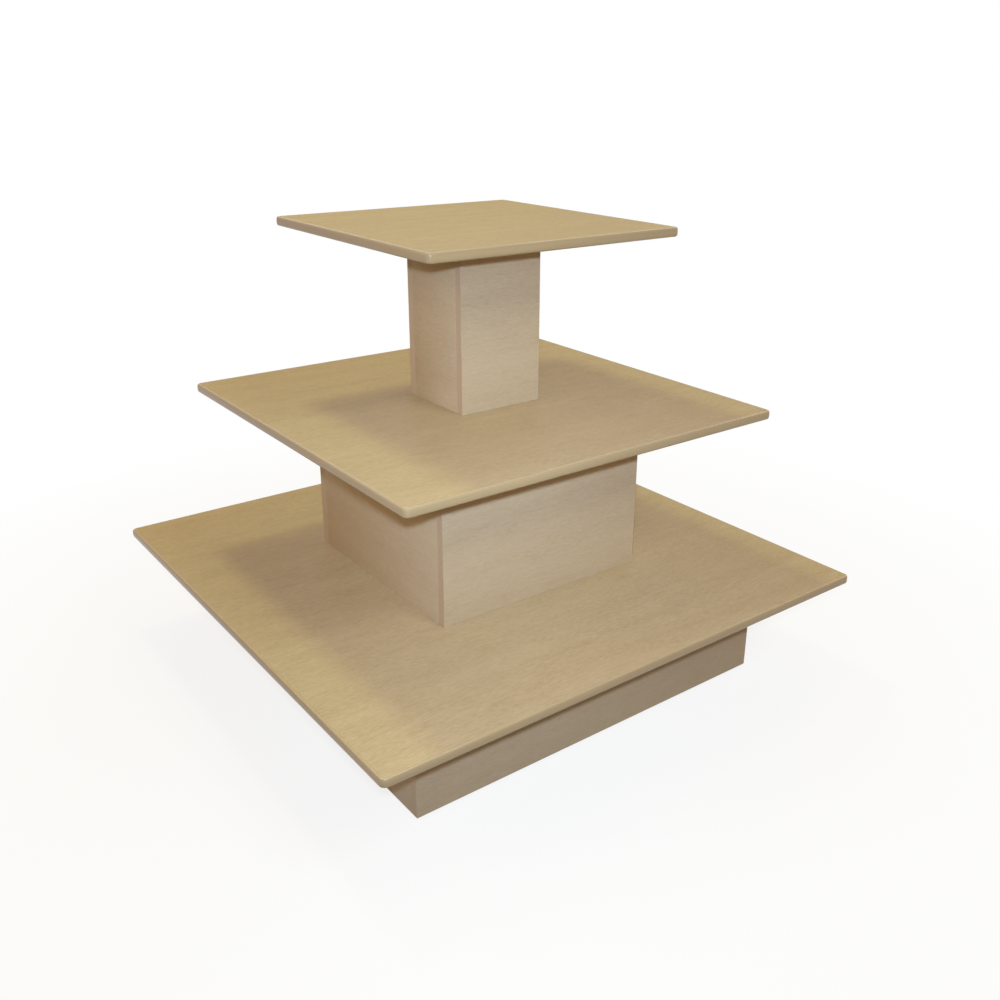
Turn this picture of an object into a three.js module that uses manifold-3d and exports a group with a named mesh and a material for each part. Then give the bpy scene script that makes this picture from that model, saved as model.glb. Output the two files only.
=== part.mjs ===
// Tiered display table in maple laminate: three square decks on three hollow square risers.
// Millimetres, +Z up. The origin is on the floor under the table's centre, and -Y is the front.
import * as THREE from 'three';
import { mergeVertices } from 'three/addons/utils/BufferGeometryUtils.js';
import Module from 'manifold-3d';

// Decks, measured outside the band that wraps each board
const LOWER_DECK_SIDE = 1219;
const MIDDLE_DECK_SIDE = 922;
const TOP_DECK_SIDE = 610;
const DECK_THICKNESS = 19;
const DECK_CORNER_RADIUS = 12.5;
const EDGE_BAND_THICKNESS = 6;
const EDGE_BAND_ARRIS_RADIUS = 5.5;

// Heights: the lower deck's top above the floor, then each deck's top above the deck below it
const LOWER_DECK_HEIGHT = 254;
const MIDDLE_DECK_RISE = 381;
const TOP_DECK_RISE = 381;

// Risers, measured outside; the plinth stops short of the floor and stands on its levellers
const PLINTH_SIDE = 914;
const MIDDLE_RISER_SIDE = 521;
const COLUMN_SIDE = 203;
const PANEL_THICKNESS = 19;
const PLINTH_FLOOR_GAP = 3;

// Framing hidden inside the risers
const CLEAT_SIDE = 32;
const CORNER_BLOCK_SIDE = 64;
const CENTRE_RAIL_HEIGHT = 89;

// Deck screws, driven up through a cleat or plate into the underside of a deck
const DECK_SCREW_RADIUS = 2.4;
const DECK_SCREW_HEAD_RADIUS = 4.6;
const DECK_SCREW_HEAD_HEIGHT = 3;
const DECK_SCREW_POINT = 5;
const DECK_SCREW_BITE = 12;
const CLEAT_SCREW_INSET = 80;
const HEAD_PLATE_SCREW_INSET = 30;

// Foot screws, driven up through a deck into the lower edges of the riser that stands on it
const FOOT_SCREW_RADIUS = 2.8;
const FOOT_SCREW_HEAD_RADIUS = 5;
const FOOT_SCREW_HEAD_DEPTH = 3;
const FOOT_SCREW_POINT = 5;
const FOOT_SCREW_LENGTH = 50;
const FOOT_SCREW_INSET = 50;

// Levelling feet: a swivel pad, a threaded stem with a hexagon, and a tee nut in the corner block
const PAD_RADIUS = 19;
const PAD_RIM_HEIGHT = 5;
const PAD_HEIGHT = 12;
const PAD_CHAMFER = 1.5;
const PAD_HUB_RADIUS = 9;
const PAD_FLOOR = 3;
const PAD_LIP = 3;
const STEM_RADIUS = 4;
const STEM_LENGTH = 56;
const STEM_POINT = 2;
const STEM_FOOT_RADIUS = 5.5;
const HEXAGON_ACROSS_FLATS = 13;
const HEXAGON_HEIGHT = 6;
const HEXAGON_SIDES = 6;
const TEE_NUT_FLANGE_RADIUS = 11;
const TEE_NUT_FLANGE_THICKNESS = 1.5;
const TEE_NUT_BARREL_RADIUS = 5.5;
const TEE_NUT_BARREL_LENGTH = 12;

// Gaps: where two pieces meet, round a screw or stem in its hole, and past the end of a blind hole
const SEAT_GAP = 0.25;
const HOLE_CLEARANCE = 0.35;
const HOLE_END_GAP = 1;

// Modelling detail: facets round a turned piece, steps in half of a deck's corner arc and in an edge
// band's arris, and how far a cut runs past the face that it enters or leaves
const SCREW_FACETS = 10;
const LEVELLER_FACETS = 20;
const CORNER_STEPS = 4;
const ARRIS_STEPS = 3;
const OVERCUT = 1;
const MERGE_TOLERANCE = 1e-4;

// Finishes
const LAMINATE = { color: 0xc4ad85, roughness: 0.42, metalness: 0 };
const EDGE_BAND = { color: 0xb9a27d, roughness: 0.38, metalness: 0 };
const SOFTWOOD = { color: 0xd2b48a, roughness: 0.75, metalness: 0 };
const ZINC = { color: 0xb4b6b8, roughness: 0.35, metalness: 1 };
const NYLON = { color: 0x2a2724, roughness: 0.55, metalness: 0 };

// Levels, from the floor up
const LOWER_DECK_UNDERSIDE = LOWER_DECK_HEIGHT - DECK_THICKNESS;
const MIDDLE_DECK_HEIGHT = LOWER_DECK_HEIGHT + MIDDLE_DECK_RISE;
const MIDDLE_DECK_UNDERSIDE = MIDDLE_DECK_HEIGHT - DECK_THICKNESS;
const TOP_DECK_HEIGHT = MIDDLE_DECK_HEIGHT + TOP_DECK_RISE;
const TOP_DECK_UNDERSIDE = TOP_DECK_HEIGHT - DECK_THICKNESS;

const CORNERS = [
  { corner: 'front_left', sx: -1, sy: -1 },
  { corner: 'front_right', sx: 1, sy: -1 },
  { corner: 'back_left', sx: -1, sy: 1 },
  { corner: 'back_right', sx: 1, sy: 1 },
];
const SIDES = [
  { side: 'left', sx: -1 },
  { side: 'right', sx: 1 },
];

const wasm = await Module();
wasm.setup();

// Solids: a closed geometry as a solid that can be cut or joined, and back again

function toSolid(geometry) {
  const loose = geometry.index ? geometry.toNonIndexed() : geometry.clone();
  loose.deleteAttribute('normal');
  loose.deleteAttribute('uv');
  const merged = mergeVertices(loose, MERGE_TOLERANCE);
  return new wasm.Manifold(new wasm.Mesh({
    numProp: 3,
    vertProperties: merged.getAttribute('position').array,
    triVerts: Uint32Array.from(merged.index.array),
  }));
}

function toGeometry(solid) {
  const { vertProperties, triVerts } = solid.getMesh();
  const geometry = new THREE.BufferGeometry();
  geometry.setAttribute('position', new THREE.BufferAttribute(vertProperties, 3));
  geometry.setIndex(new THREE.BufferAttribute(triVerts, 1));
  return geometry;
}

function cut(geometry, tools) {
  const solid = tools.reduce((left, tool) => left.subtract(toSolid(tool)), toSolid(geometry));
  return toGeometry(solid);
}

// Shapes

// A turned piece about Z from [radius, height] points, listed upwards along its outside
function turned(points, facets) {
  const profile = points.map(([radius, height]) => new THREE.Vector2(radius, height));
  return new THREE.LatheGeometry(profile, facets).rotateX(Math.PI / 2);
}

// A drill that enters at height 0 and ends at the given depth above it
function drill(radius, depth) {
  return turned([[0, -OVERCUT], [radius, -OVERCUT], [radius, depth], [0, depth]], SCREW_FACETS);
}

function roundedSquare(side, radius) {
  const path = new THREE.Shape();
  const edge = side / 2;
  const arc = edge - radius;
  path.moveTo(-arc, -edge);
  path.lineTo(arc, -edge);
  path.absarc(arc, -arc, radius, -Math.PI / 2, 0, false);
  path.lineTo(edge, arc);
  path.absarc(arc, arc, radius, 0, Math.PI / 2, false);
  path.lineTo(-arc, edge);
  path.absarc(-arc, arc, radius, Math.PI / 2, Math.PI, false);
  path.lineTo(-edge, -arc);
  path.absarc(-arc, -arc, radius, Math.PI, 1.5 * Math.PI, false);
  return path;
}

function slab(shape, depth = DECK_THICKNESS) {
  const options = { depth, bevelEnabled: false, curveSegments: CORNER_STEPS };
  return new THREE.ExtrudeGeometry(shape, options);
}

// A slab as thick as a deck, with its upper and lower arrises rounded
function roundedSlab(shape, arris) {
  const options = {
    depth: DECK_THICKNESS - 2 * arris,
    bevelThickness: arris,
    bevelSize: arris,
    bevelOffset: -arris,
    bevelSegments: ARRIS_STEPS,
    curveSegments: CORNER_STEPS,
  };
  return new THREE.ExtrudeGeometry(shape, options).translate(0, 0, arris);
}

// Parts of the scene

function place(group, name, finish, geometry, x, y, z) {
  const mesh = new THREE.Mesh(geometry, new THREE.MeshStandardMaterial(finish));
  mesh.name = name;
  mesh.position.set(x, y, z);
  group.add(mesh);
}

function subAssembly(parent, name, height) {
  const group = new THREE.Group();
  group.name = name;
  group.position.z = height;
  parent.add(group);
  return group;
}

// Half of the clear space between two opposite panels of a riser
function insideHalf(riserSide) {
  return riserSide / 2 - PANEL_THICKNESS;
}

// Screws: each is drawn up its own axis, from 0 at the face that its head bears on or lies flush with

function deckScrew(grip) {
  const tip = grip + DECK_SCREW_BITE;
  return turned([
    [0, -DECK_SCREW_HEAD_HEIGHT],
    [DECK_SCREW_HEAD_RADIUS, -DECK_SCREW_HEAD_HEIGHT],
    [DECK_SCREW_HEAD_RADIUS, 0],
    [DECK_SCREW_RADIUS, 0],
    [DECK_SCREW_RADIUS, tip - DECK_SCREW_POINT],
    [0, tip],
  ], SCREW_FACETS);
}

function footScrew() {
  return turned([
    [0, 0],
    [FOOT_SCREW_HEAD_RADIUS, 0],
    [FOOT_SCREW_RADIUS, FOOT_SCREW_HEAD_DEPTH],
    [FOOT_SCREW_RADIUS, FOOT_SCREW_LENGTH - FOOT_SCREW_POINT],
    [0, FOOT_SCREW_LENGTH],
  ], SCREW_FACETS);
}

// The countersunk hole that a foot screw takes through a deck, entered from the underside
function footScrewDeckHole() {
  const head = FOOT_SCREW_HEAD_RADIUS + HOLE_CLEARANCE;
  const shank = FOOT_SCREW_RADIUS + HOLE_CLEARANCE;
  const top = DECK_THICKNESS + OVERCUT;
  return turned([
    [0, -OVERCUT],
    [head, -OVERCUT],
    [head, SEAT_GAP],
    [shank, SEAT_GAP + FOOT_SCREW_HEAD_DEPTH],
    [shank, top],
    [0, top],
  ], SCREW_FACETS);
}

// The blind hole in a panel's lower edge that takes the rest of that screw
function footScrewPanelHole() {
  const entered = FOOT_SCREW_LENGTH - DECK_THICKNESS;
  return drill(FOOT_SCREW_RADIUS + HOLE_CLEARANCE, entered + HOLE_END_GAP);
}

// Where the screws stand, as [x, y] for each corner

function cleatCentre(riserSide) {
  return insideHalf(riserSide) - SEAT_GAP - CLEAT_SIDE / 2;
}

function cleatScrewAt(riserSide, cleatLength) {
  const x = cleatCentre(riserSide);
  const y = cleatLength / 2 - CLEAT_SCREW_INSET;
  return CORNERS.map(({ sx, sy }) => [sx * x, sy * y]);
}

function headPlateScrewAt(riserSide) {
  const offset = insideHalf(riserSide) - SEAT_GAP - HEAD_PLATE_SCREW_INSET;
  return CORNERS.map(({ sx, sy }) => [sx * offset, sy * offset]);
}

function footScrewAt(riserSide) {
  const x = riserSide / 2 - FOOT_SCREW_INSET;
  const y = riserSide / 2 - PANEL_THICKNESS / 2;
  return CORNERS.map(({ sx, sy }) => [sx * x, sy * y]);
}

// Decks: a board drilled from below, and the band round its edge

function deck(table, name, side, underside, deckScrewsAt, footScrewsAt) {
  const group = subAssembly(table, name, underside);
  const inset = EDGE_BAND_THICKNESS + SEAT_GAP;
  const board = slab(roundedSquare(side - 2 * inset, DECK_CORNER_RADIUS - inset));
  const pilot = drill(DECK_SCREW_RADIUS + HOLE_CLEARANCE, DECK_SCREW_BITE + HOLE_END_GAP);
  const pilots = deckScrewsAt.map(([x, y]) => pilot.clone().translate(x, y, 0));
  const countersinks = footScrewsAt.map(([x, y]) => footScrewDeckHole().translate(x, y, 0));
  place(group, `${name}_board`, LAMINATE, cut(board, [...pilots, ...countersinks]), 0, 0, 0);

  const outside = roundedSlab(roundedSquare(side, DECK_CORNER_RADIUS), EDGE_BAND_ARRIS_RADIUS);
  const innerSide = side - 2 * EDGE_BAND_THICKNESS;
  const innerRadius = DECK_CORNER_RADIUS - EDGE_BAND_THICKNESS;
  const hollow = slab(roundedSquare(innerSide, innerRadius), DECK_THICKNESS + 2 * OVERCUT);
  hollow.translate(0, 0, -OVERCUT);
  place(group, `${name}_edge_band`, EDGE_BAND, cut(outside, [hollow]), 0, 0, 0);
}

// Screws of a deck: through its cleats or plate from below, and through it into the riser above

function deckScrews(table, name, underside, carrierThickness, points) {
  const group = subAssembly(table, `${name}s`, underside);
  const grip = SEAT_GAP + carrierThickness + SEAT_GAP;
  CORNERS.forEach(({ corner }, i) => {
    const [x, y] = points[i];
    place(group, `${name}_${corner}`, ZINC, deckScrew(grip), x, y, -grip);
  });
}

function footScrews(table, name, deckUnderside, points) {
  const group = subAssembly(table, `${name}s`, deckUnderside);
  CORNERS.forEach(({ corner }, i) => {
    const [x, y] = points[i];
    place(group, `${name}_${corner}`, ZINC, footScrew(), x, y, SEAT_GAP);
  });
}

// Risers: full-width front and back panels, with the left and right panels butted between them

function riser(table, name, side, bottom, top, footScrewsAt) {
  const height = top - bottom;
  const group = subAssembly(table, name, bottom + height / 2);
  const centre = side / 2 - PANEL_THICKNESS / 2;
  for (const [facing, sy] of [['front', -1], ['back', 1]]) {
    const panel = new THREE.BoxGeometry(side, PANEL_THICKNESS, height);
    const holes = footScrewsAt
      .filter(([, y]) => y * sy > 0)
      .map(([x]) => footScrewPanelHole().translate(x, 0, -height / 2));
    place(group, `${name}_${facing}_panel`, LAMINATE, cut(panel, holes), 0, sy * centre, 0);
  }
  const between = 2 * (insideHalf(side) - SEAT_GAP);
  for (const { side: facing, sx } of SIDES) {
    const panel = new THREE.BoxGeometry(PANEL_THICKNESS, between, height);
    place(group, `${name}_${facing}_panel`, LAMINATE, panel, sx * centre, 0, 0);
  }
}

// Cleats along the inside of a riser's left and right panels, drilled for the deck screws
function deckCleats(table, name, riserSide, length, deckUnderside, screwsAt) {
  const middle = deckUnderside - SEAT_GAP - CLEAT_SIDE / 2;
  const group = subAssembly(table, `${name}_deck_cleats`, middle);
  const through = CLEAT_SIDE + OVERCUT;
  for (const { side, sx } of SIDES) {
    const x = sx * cleatCentre(riserSide);
    const cleat = new THREE.BoxGeometry(CLEAT_SIDE, length, CLEAT_SIDE);
    const holes = screwsAt
      .filter(([screwX]) => screwX * sx > 0)
      .map(([, y]) => drill(DECK_SCREW_RADIUS + HOLE_CLEARANCE, through).translate(0, y, -CLEAT_SIDE / 2));
    place(group, `${name}_${side}_deck_cleat`, SOFTWOOD, cut(cleat, holes), x, 0, 0);
  }
}

// Levelling feet, each drawn about its own axis with the floor at 0

const SOCKET_FLOOR = PAD_FLOOR;
const SOCKET_LIP = PAD_HEIGHT - PAD_LIP;
const STEM_BOTTOM = SOCKET_FLOOR + SEAT_GAP;
const HEXAGON_BOTTOM = PAD_HEIGHT + SEAT_GAP;
const HEXAGON_TOP = HEXAGON_BOTTOM + HEXAGON_HEIGHT;
const TEE_NUT_BOTTOM = HEXAGON_TOP + SEAT_GAP;
const CORNER_BLOCK_BOTTOM = TEE_NUT_BOTTOM + TEE_NUT_FLANGE_THICKNESS + SEAT_GAP;

function levellerPad() {
  const mouth = STEM_RADIUS + HOLE_CLEARANCE;
  const socket = STEM_FOOT_RADIUS + HOLE_CLEARANCE;
  return turned([
    [0, 0],
    [PAD_RADIUS - PAD_CHAMFER, 0],
    [PAD_RADIUS, PAD_CHAMFER],
    [PAD_RADIUS, PAD_RIM_HEIGHT],
    [PAD_HUB_RADIUS, PAD_HEIGHT],
    [mouth, PAD_HEIGHT],
    [mouth, SOCKET_LIP],
    [socket, SOCKET_LIP],
    [socket, SOCKET_FLOOR],
    [0, SOCKET_FLOOR],
  ], LEVELLER_FACETS);
}

function levellerStem() {
  const footTop = SOCKET_LIP - SEAT_GAP;
  const top = STEM_BOTTOM + STEM_LENGTH;
  const shank = turned([
    [0, STEM_BOTTOM],
    [STEM_FOOT_RADIUS, STEM_BOTTOM],
    [STEM_FOOT_RADIUS, footTop],
    [STEM_RADIUS, footTop],
    [STEM_RADIUS, top - STEM_POINT],
    [STEM_RADIUS - STEM_POINT, top],
    [0, top],
  ], LEVELLER_FACETS);
  const corner = HEXAGON_ACROSS_FLATS / 2 / Math.cos(Math.PI / HEXAGON_SIDES);
  const hexagon = new THREE.CylinderGeometry(corner, corner, HEXAGON_HEIGHT, HEXAGON_SIDES);
  hexagon.rotateX(Math.PI / 2);
  hexagon.translate(0, 0, HEXAGON_BOTTOM + HEXAGON_HEIGHT / 2);
  return toGeometry(toSolid(shank).add(toSolid(hexagon)));
}

function teeNut() {
  const bore = STEM_RADIUS + HOLE_CLEARANCE;
  const flangeTop = TEE_NUT_BOTTOM + TEE_NUT_FLANGE_THICKNESS;
  const barrelTop = flangeTop + TEE_NUT_BARREL_LENGTH;
  return turned([
    [bore, TEE_NUT_BOTTOM],
    [TEE_NUT_FLANGE_RADIUS, TEE_NUT_BOTTOM],
    [TEE_NUT_FLANGE_RADIUS, flangeTop],
    [TEE_NUT_BARREL_RADIUS, flangeTop],
    [TEE_NUT_BARREL_RADIUS, barrelTop],
    [bore, barrelTop],
    [bore, TEE_NUT_BOTTOM],
  ], LEVELLER_FACETS);
}

// A corner block about the same axis, bored for the tee nut's barrel and for the stem above it
function cornerBlock() {
  const height = LOWER_DECK_UNDERSIDE - SEAT_GAP - CORNER_BLOCK_BOTTOM;
  const block = new THREE.BoxGeometry(CORNER_BLOCK_SIDE, CORNER_BLOCK_SIDE, height);
  block.translate(0, 0, CORNER_BLOCK_BOTTOM + height / 2);
  const barrel = drill(TEE_NUT_BARREL_RADIUS + HOLE_CLEARANCE, TEE_NUT_BARREL_LENGTH + HOLE_END_GAP);
  const stemEntered = STEM_BOTTOM + STEM_LENGTH - CORNER_BLOCK_BOTTOM;
  const stem = drill(STEM_RADIUS + HOLE_END_GAP, stemEntered + HOLE_END_GAP);
  return cut(block, [barrel, stem].map((tool) => tool.translate(0, 0, CORNER_BLOCK_BOTTOM)));
}

// The plinth's framing: corner blocks on their levellers, and the rail under the middle of the deck
function plinthFraming(table) {
  const group = subAssembly(table, 'plinth_framing', 0);
  const centre = insideHalf(PLINTH_SIDE) - SEAT_GAP - CORNER_BLOCK_SIDE / 2;
  for (const { corner, sx, sy } of CORNERS) {
    const x = sx * centre;
    const y = sy * centre;
    place(group, `plinth_corner_block_${corner}`, SOFTWOOD, cornerBlock(), x, y, 0);
    place(group, `leveller_tee_nut_${corner}`, ZINC, teeNut(), x, y, 0);
    place(group, `leveller_stem_${corner}`, ZINC, levellerStem(), x, y, 0);
    place(group, `leveller_pad_${corner}`, NYLON, levellerPad(), x, y, 0);
  }
  const railLength = 2 * (insideHalf(PLINTH_SIDE) - SEAT_GAP);
  const rail = new THREE.BoxGeometry(PANEL_THICKNESS, railLength, CENTRE_RAIL_HEIGHT);
  const railMiddle = LOWER_DECK_UNDERSIDE - SEAT_GAP - CENTRE_RAIL_HEIGHT / 2;
  place(group, 'plinth_centre_rail', SOFTWOOD, rail, 0, 0, railMiddle);
}

// The plate closing the column's upper end, drilled for the top deck's screws
function columnHeadPlate(table, screwsAt) {
  const plateSide = 2 * (insideHalf(COLUMN_SIDE) - SEAT_GAP);
  const plate = new THREE.BoxGeometry(plateSide, plateSide, PANEL_THICKNESS);
  const hole = drill(DECK_SCREW_RADIUS + HOLE_CLEARANCE, PANEL_THICKNESS + OVERCUT);
  const holes = screwsAt.map(([x, y]) => hole.clone().translate(x, y, -PANEL_THICKNESS / 2));
  const middle = TOP_DECK_UNDERSIDE - SEAT_GAP - PANEL_THICKNESS / 2;
  place(table, 'column_head_plate', SOFTWOOD, cut(plate, holes), 0, 0, middle);
}

// The table, from the floor up

const table = new THREE.Group();
table.name = 'tiered_display_table';

const plinthCleatLength = 2 * (insideHalf(PLINTH_SIDE) - CORNER_BLOCK_SIDE - 2 * SEAT_GAP);
const middleCleatLength = 2 * (insideHalf(MIDDLE_RISER_SIDE) - SEAT_GAP);
const lowerDeckScrewsAt = cleatScrewAt(PLINTH_SIDE, plinthCleatLength);
const middleDeckScrewsAt = cleatScrewAt(MIDDLE_RISER_SIDE, middleCleatLength);
const topDeckScrewsAt = headPlateScrewAt(COLUMN_SIDE);
const middleRiserScrewsAt = footScrewAt(MIDDLE_RISER_SIDE);
const columnScrewsAt = footScrewAt(COLUMN_SIDE);

riser(table, 'plinth', PLINTH_SIDE, PLINTH_FLOOR_GAP, LOWER_DECK_UNDERSIDE - SEAT_GAP, []);
plinthFraming(table);
deckCleats(table, 'plinth', PLINTH_SIDE, plinthCleatLength, LOWER_DECK_UNDERSIDE, lowerDeckScrewsAt);
deckScrews(table, 'lower_deck_screw', LOWER_DECK_UNDERSIDE, CLEAT_SIDE, lowerDeckScrewsAt);
deck(table, 'lower_deck', LOWER_DECK_SIDE, LOWER_DECK_UNDERSIDE, lowerDeckScrewsAt, middleRiserScrewsAt);
footScrews(table, 'middle_riser_foot_screw', LOWER_DECK_UNDERSIDE, middleRiserScrewsAt);

const middleRiserBottom = LOWER_DECK_HEIGHT + SEAT_GAP;
const middleRiserTop = MIDDLE_DECK_UNDERSIDE - SEAT_GAP;
riser(table, 'middle_riser', MIDDLE_RISER_SIDE, middleRiserBottom, middleRiserTop, middleRiserScrewsAt);
deckCleats(table, 'middle_riser', MIDDLE_RISER_SIDE, middleCleatLength, MIDDLE_DECK_UNDERSIDE,
  middleDeckScrewsAt);
deckScrews(table, 'middle_deck_screw', MIDDLE_DECK_UNDERSIDE, CLEAT_SIDE, middleDeckScrewsAt);
deck(table, 'middle_deck', MIDDLE_DECK_SIDE, MIDDLE_DECK_UNDERSIDE, middleDeckScrewsAt, columnScrewsAt);
footScrews(table, 'column_foot_screw', MIDDLE_DECK_UNDERSIDE, columnScrewsAt);

const columnBottom = MIDDLE_DECK_HEIGHT + SEAT_GAP;
const columnTop = TOP_DECK_UNDERSIDE - SEAT_GAP;
riser(table, 'column', COLUMN_SIDE, columnBottom, columnTop, columnScrewsAt);
columnHeadPlate(table, topDeckScrewsAt);
deckScrews(table, 'top_deck_screw', TOP_DECK_UNDERSIDE, PANEL_THICKNESS, topDeckScrewsAt);
deck(table, 'top_deck', TOP_DECK_SIDE, TOP_DECK_UNDERSIDE, topDeckScrewsAt, []);

export default table;
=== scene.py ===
"""Looks of a tiered display table: its decks, risers, fittings and studio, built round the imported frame.

Metres, +Z up. The origin is on the floor under the table's middle, and -Y is the front.
"""

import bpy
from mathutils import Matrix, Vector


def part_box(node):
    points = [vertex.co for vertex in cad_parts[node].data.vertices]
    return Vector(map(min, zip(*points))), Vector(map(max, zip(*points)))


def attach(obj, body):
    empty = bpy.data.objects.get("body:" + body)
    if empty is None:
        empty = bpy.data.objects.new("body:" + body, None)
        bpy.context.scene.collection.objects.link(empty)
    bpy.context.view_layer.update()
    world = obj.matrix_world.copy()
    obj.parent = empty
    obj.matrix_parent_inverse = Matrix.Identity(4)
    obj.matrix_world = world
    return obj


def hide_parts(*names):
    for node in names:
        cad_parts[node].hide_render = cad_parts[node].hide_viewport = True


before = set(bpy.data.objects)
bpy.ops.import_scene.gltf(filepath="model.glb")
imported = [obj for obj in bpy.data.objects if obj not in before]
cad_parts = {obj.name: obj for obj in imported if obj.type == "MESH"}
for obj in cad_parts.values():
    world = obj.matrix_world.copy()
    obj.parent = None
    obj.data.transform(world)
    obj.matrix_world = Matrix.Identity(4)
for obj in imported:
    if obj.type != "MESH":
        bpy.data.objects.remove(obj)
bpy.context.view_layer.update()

import logging
import math
from dataclasses import dataclass, field
from enum import Enum
from itertools import pairwise, product
from typing import Iterable, Sequence, Union

import bmesh
import bpy
from mathutils import Matrix, Vector

LOG = logging.getLogger("display_table")
TABLE_BODY = "table"
CORNERS = ("front_left", "front_right", "back_left", "back_right")

Colour = tuple[float, float, float]
Point = tuple[float, float, float]
Span = tuple[float, float]
Socket = bpy.types.NodeSocket
Feed = Union[float, int, bool, str, Sequence[float], Socket]

WHITE: Colour = (1.0, 1.0, 1.0)


# Node benches


class NodeBench:
    """Adds and joins the nodes of one shader or geometry tree."""

    MIX_SHARE, MIX_FIRST, MIX_SECOND, MIX_RESULT = 0, 6, 7, 2

    def __init__(self, tree: bpy.types.NodeTree) -> None:
        """Starts on a tree.

        Args:
            tree: The node tree to work in.
        """
        self.tree = tree

    def feed(self, socket: Socket, value: Feed) -> None:
        """Sets a socket to a plain value, or links another socket to it.

        Args:
            socket: The input to set.
            value: A plain value, or the output that drives the input.
        """
        if isinstance(value, Socket):
            self.tree.links.new(value, socket)
        else:
            socket.default_value = value

    def add(self, kind: str, settings: dict[str, object] | None = None, **inputs: Feed) -> bpy.types.Node:
        """Adds a node.

        Args:
            kind: The node's type.
            settings: Properties of the node.
            **inputs: Values or sockets for its inputs, with _ for each space in a name.

        Returns:
            The new node.
        """
        node = self.tree.nodes.new(kind)
        for name, value in (settings or {}).items():
            setattr(node, name, value)
        for name, value in inputs.items():
            self.feed(node.inputs[name.replace("_", " ")], value)
        return node

    def math(self, operation: str, first: Feed, second: Feed = 0.0, clamp: bool = False) -> Socket:
        """Adds a sum.

        Args:
            operation: The sum's name, such as MULTIPLY.
            first: Its first number.
            second: Its second number.
            clamp: Whether the result is held between 0 and 1.

        Returns:
            The result.
        """
        node = self.tree.nodes.new("ShaderNodeMath")
        node.operation = operation
        node.use_clamp = clamp
        self.feed(node.inputs[0], first)
        self.feed(node.inputs[1], second)
        return node.outputs[0]

    def vector(self, x: Feed, y: Feed, z: Feed) -> Socket:
        """Joins three numbers into a vector."""
        return self.add("ShaderNodeCombineXYZ", X=x, Y=y, Z=z).outputs[0]

    def split(self, vector: Socket) -> tuple[Socket, Socket, Socket]:
        """Parts a vector into its three numbers."""
        node = self.add("ShaderNodeSeparateXYZ", Vector=vector)
        return node.outputs[0], node.outputs[1], node.outputs[2]

    def distance(self, first: Socket, second: Socket) -> Socket:
        """Returns how far a point lies from an axis, from its two distances square to each other."""
        squares = (self.math("MULTIPLY", part, part) for part in (first, second))
        return self.math("SQRT", self.math("ADD", *squares))

    def remap(self, value: Socket, source: Span, target: Span) -> Socket:
        """Maps one span of numbers to another, and holds it there.

        Args:
            value: The number to map.
            source: Its low and high ends.
            target: What they become.

        Returns:
            The mapped number.
        """
        return self.add("ShaderNodeMapRange", Value=value, From_Min=source[0], From_Max=source[1],
                        To_Min=target[0], To_Max=target[1]).outputs[0]

    def blend(self, share: Feed, first: Feed, second: Feed) -> Socket:
        """Mixes two colours.

        Args:
            share: How much of the second shows.
            first: The first colour.
            second: The second colour.

        Returns:
            The mixed colour.
        """
        node = self.tree.nodes.new("ShaderNodeMix")
        node.data_type = "RGBA"
        self.feed(node.inputs[self.MIX_SHARE], share)
        for index, colour in ((self.MIX_FIRST, first), (self.MIX_SECOND, second)):
            self.feed(node.inputs[index], colour if isinstance(colour, Socket) else (*colour, 1.0))
        return node.outputs[self.MIX_RESULT]


@dataclass(frozen=True)
class GrainLayer:
    """One layer of a grain, as noise drawn out along it.

    Attributes:
        length: Length of a streak.
        width: Width of a streak.
        seed: Which part of the noise is read.
        swing: How far the layer moves the tone either way.
        detail: How many finer layers the noise has.
    """

    length: float
    width: float
    seed: float
    swing: float = 0.0
    detail: float = 2.0


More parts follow.
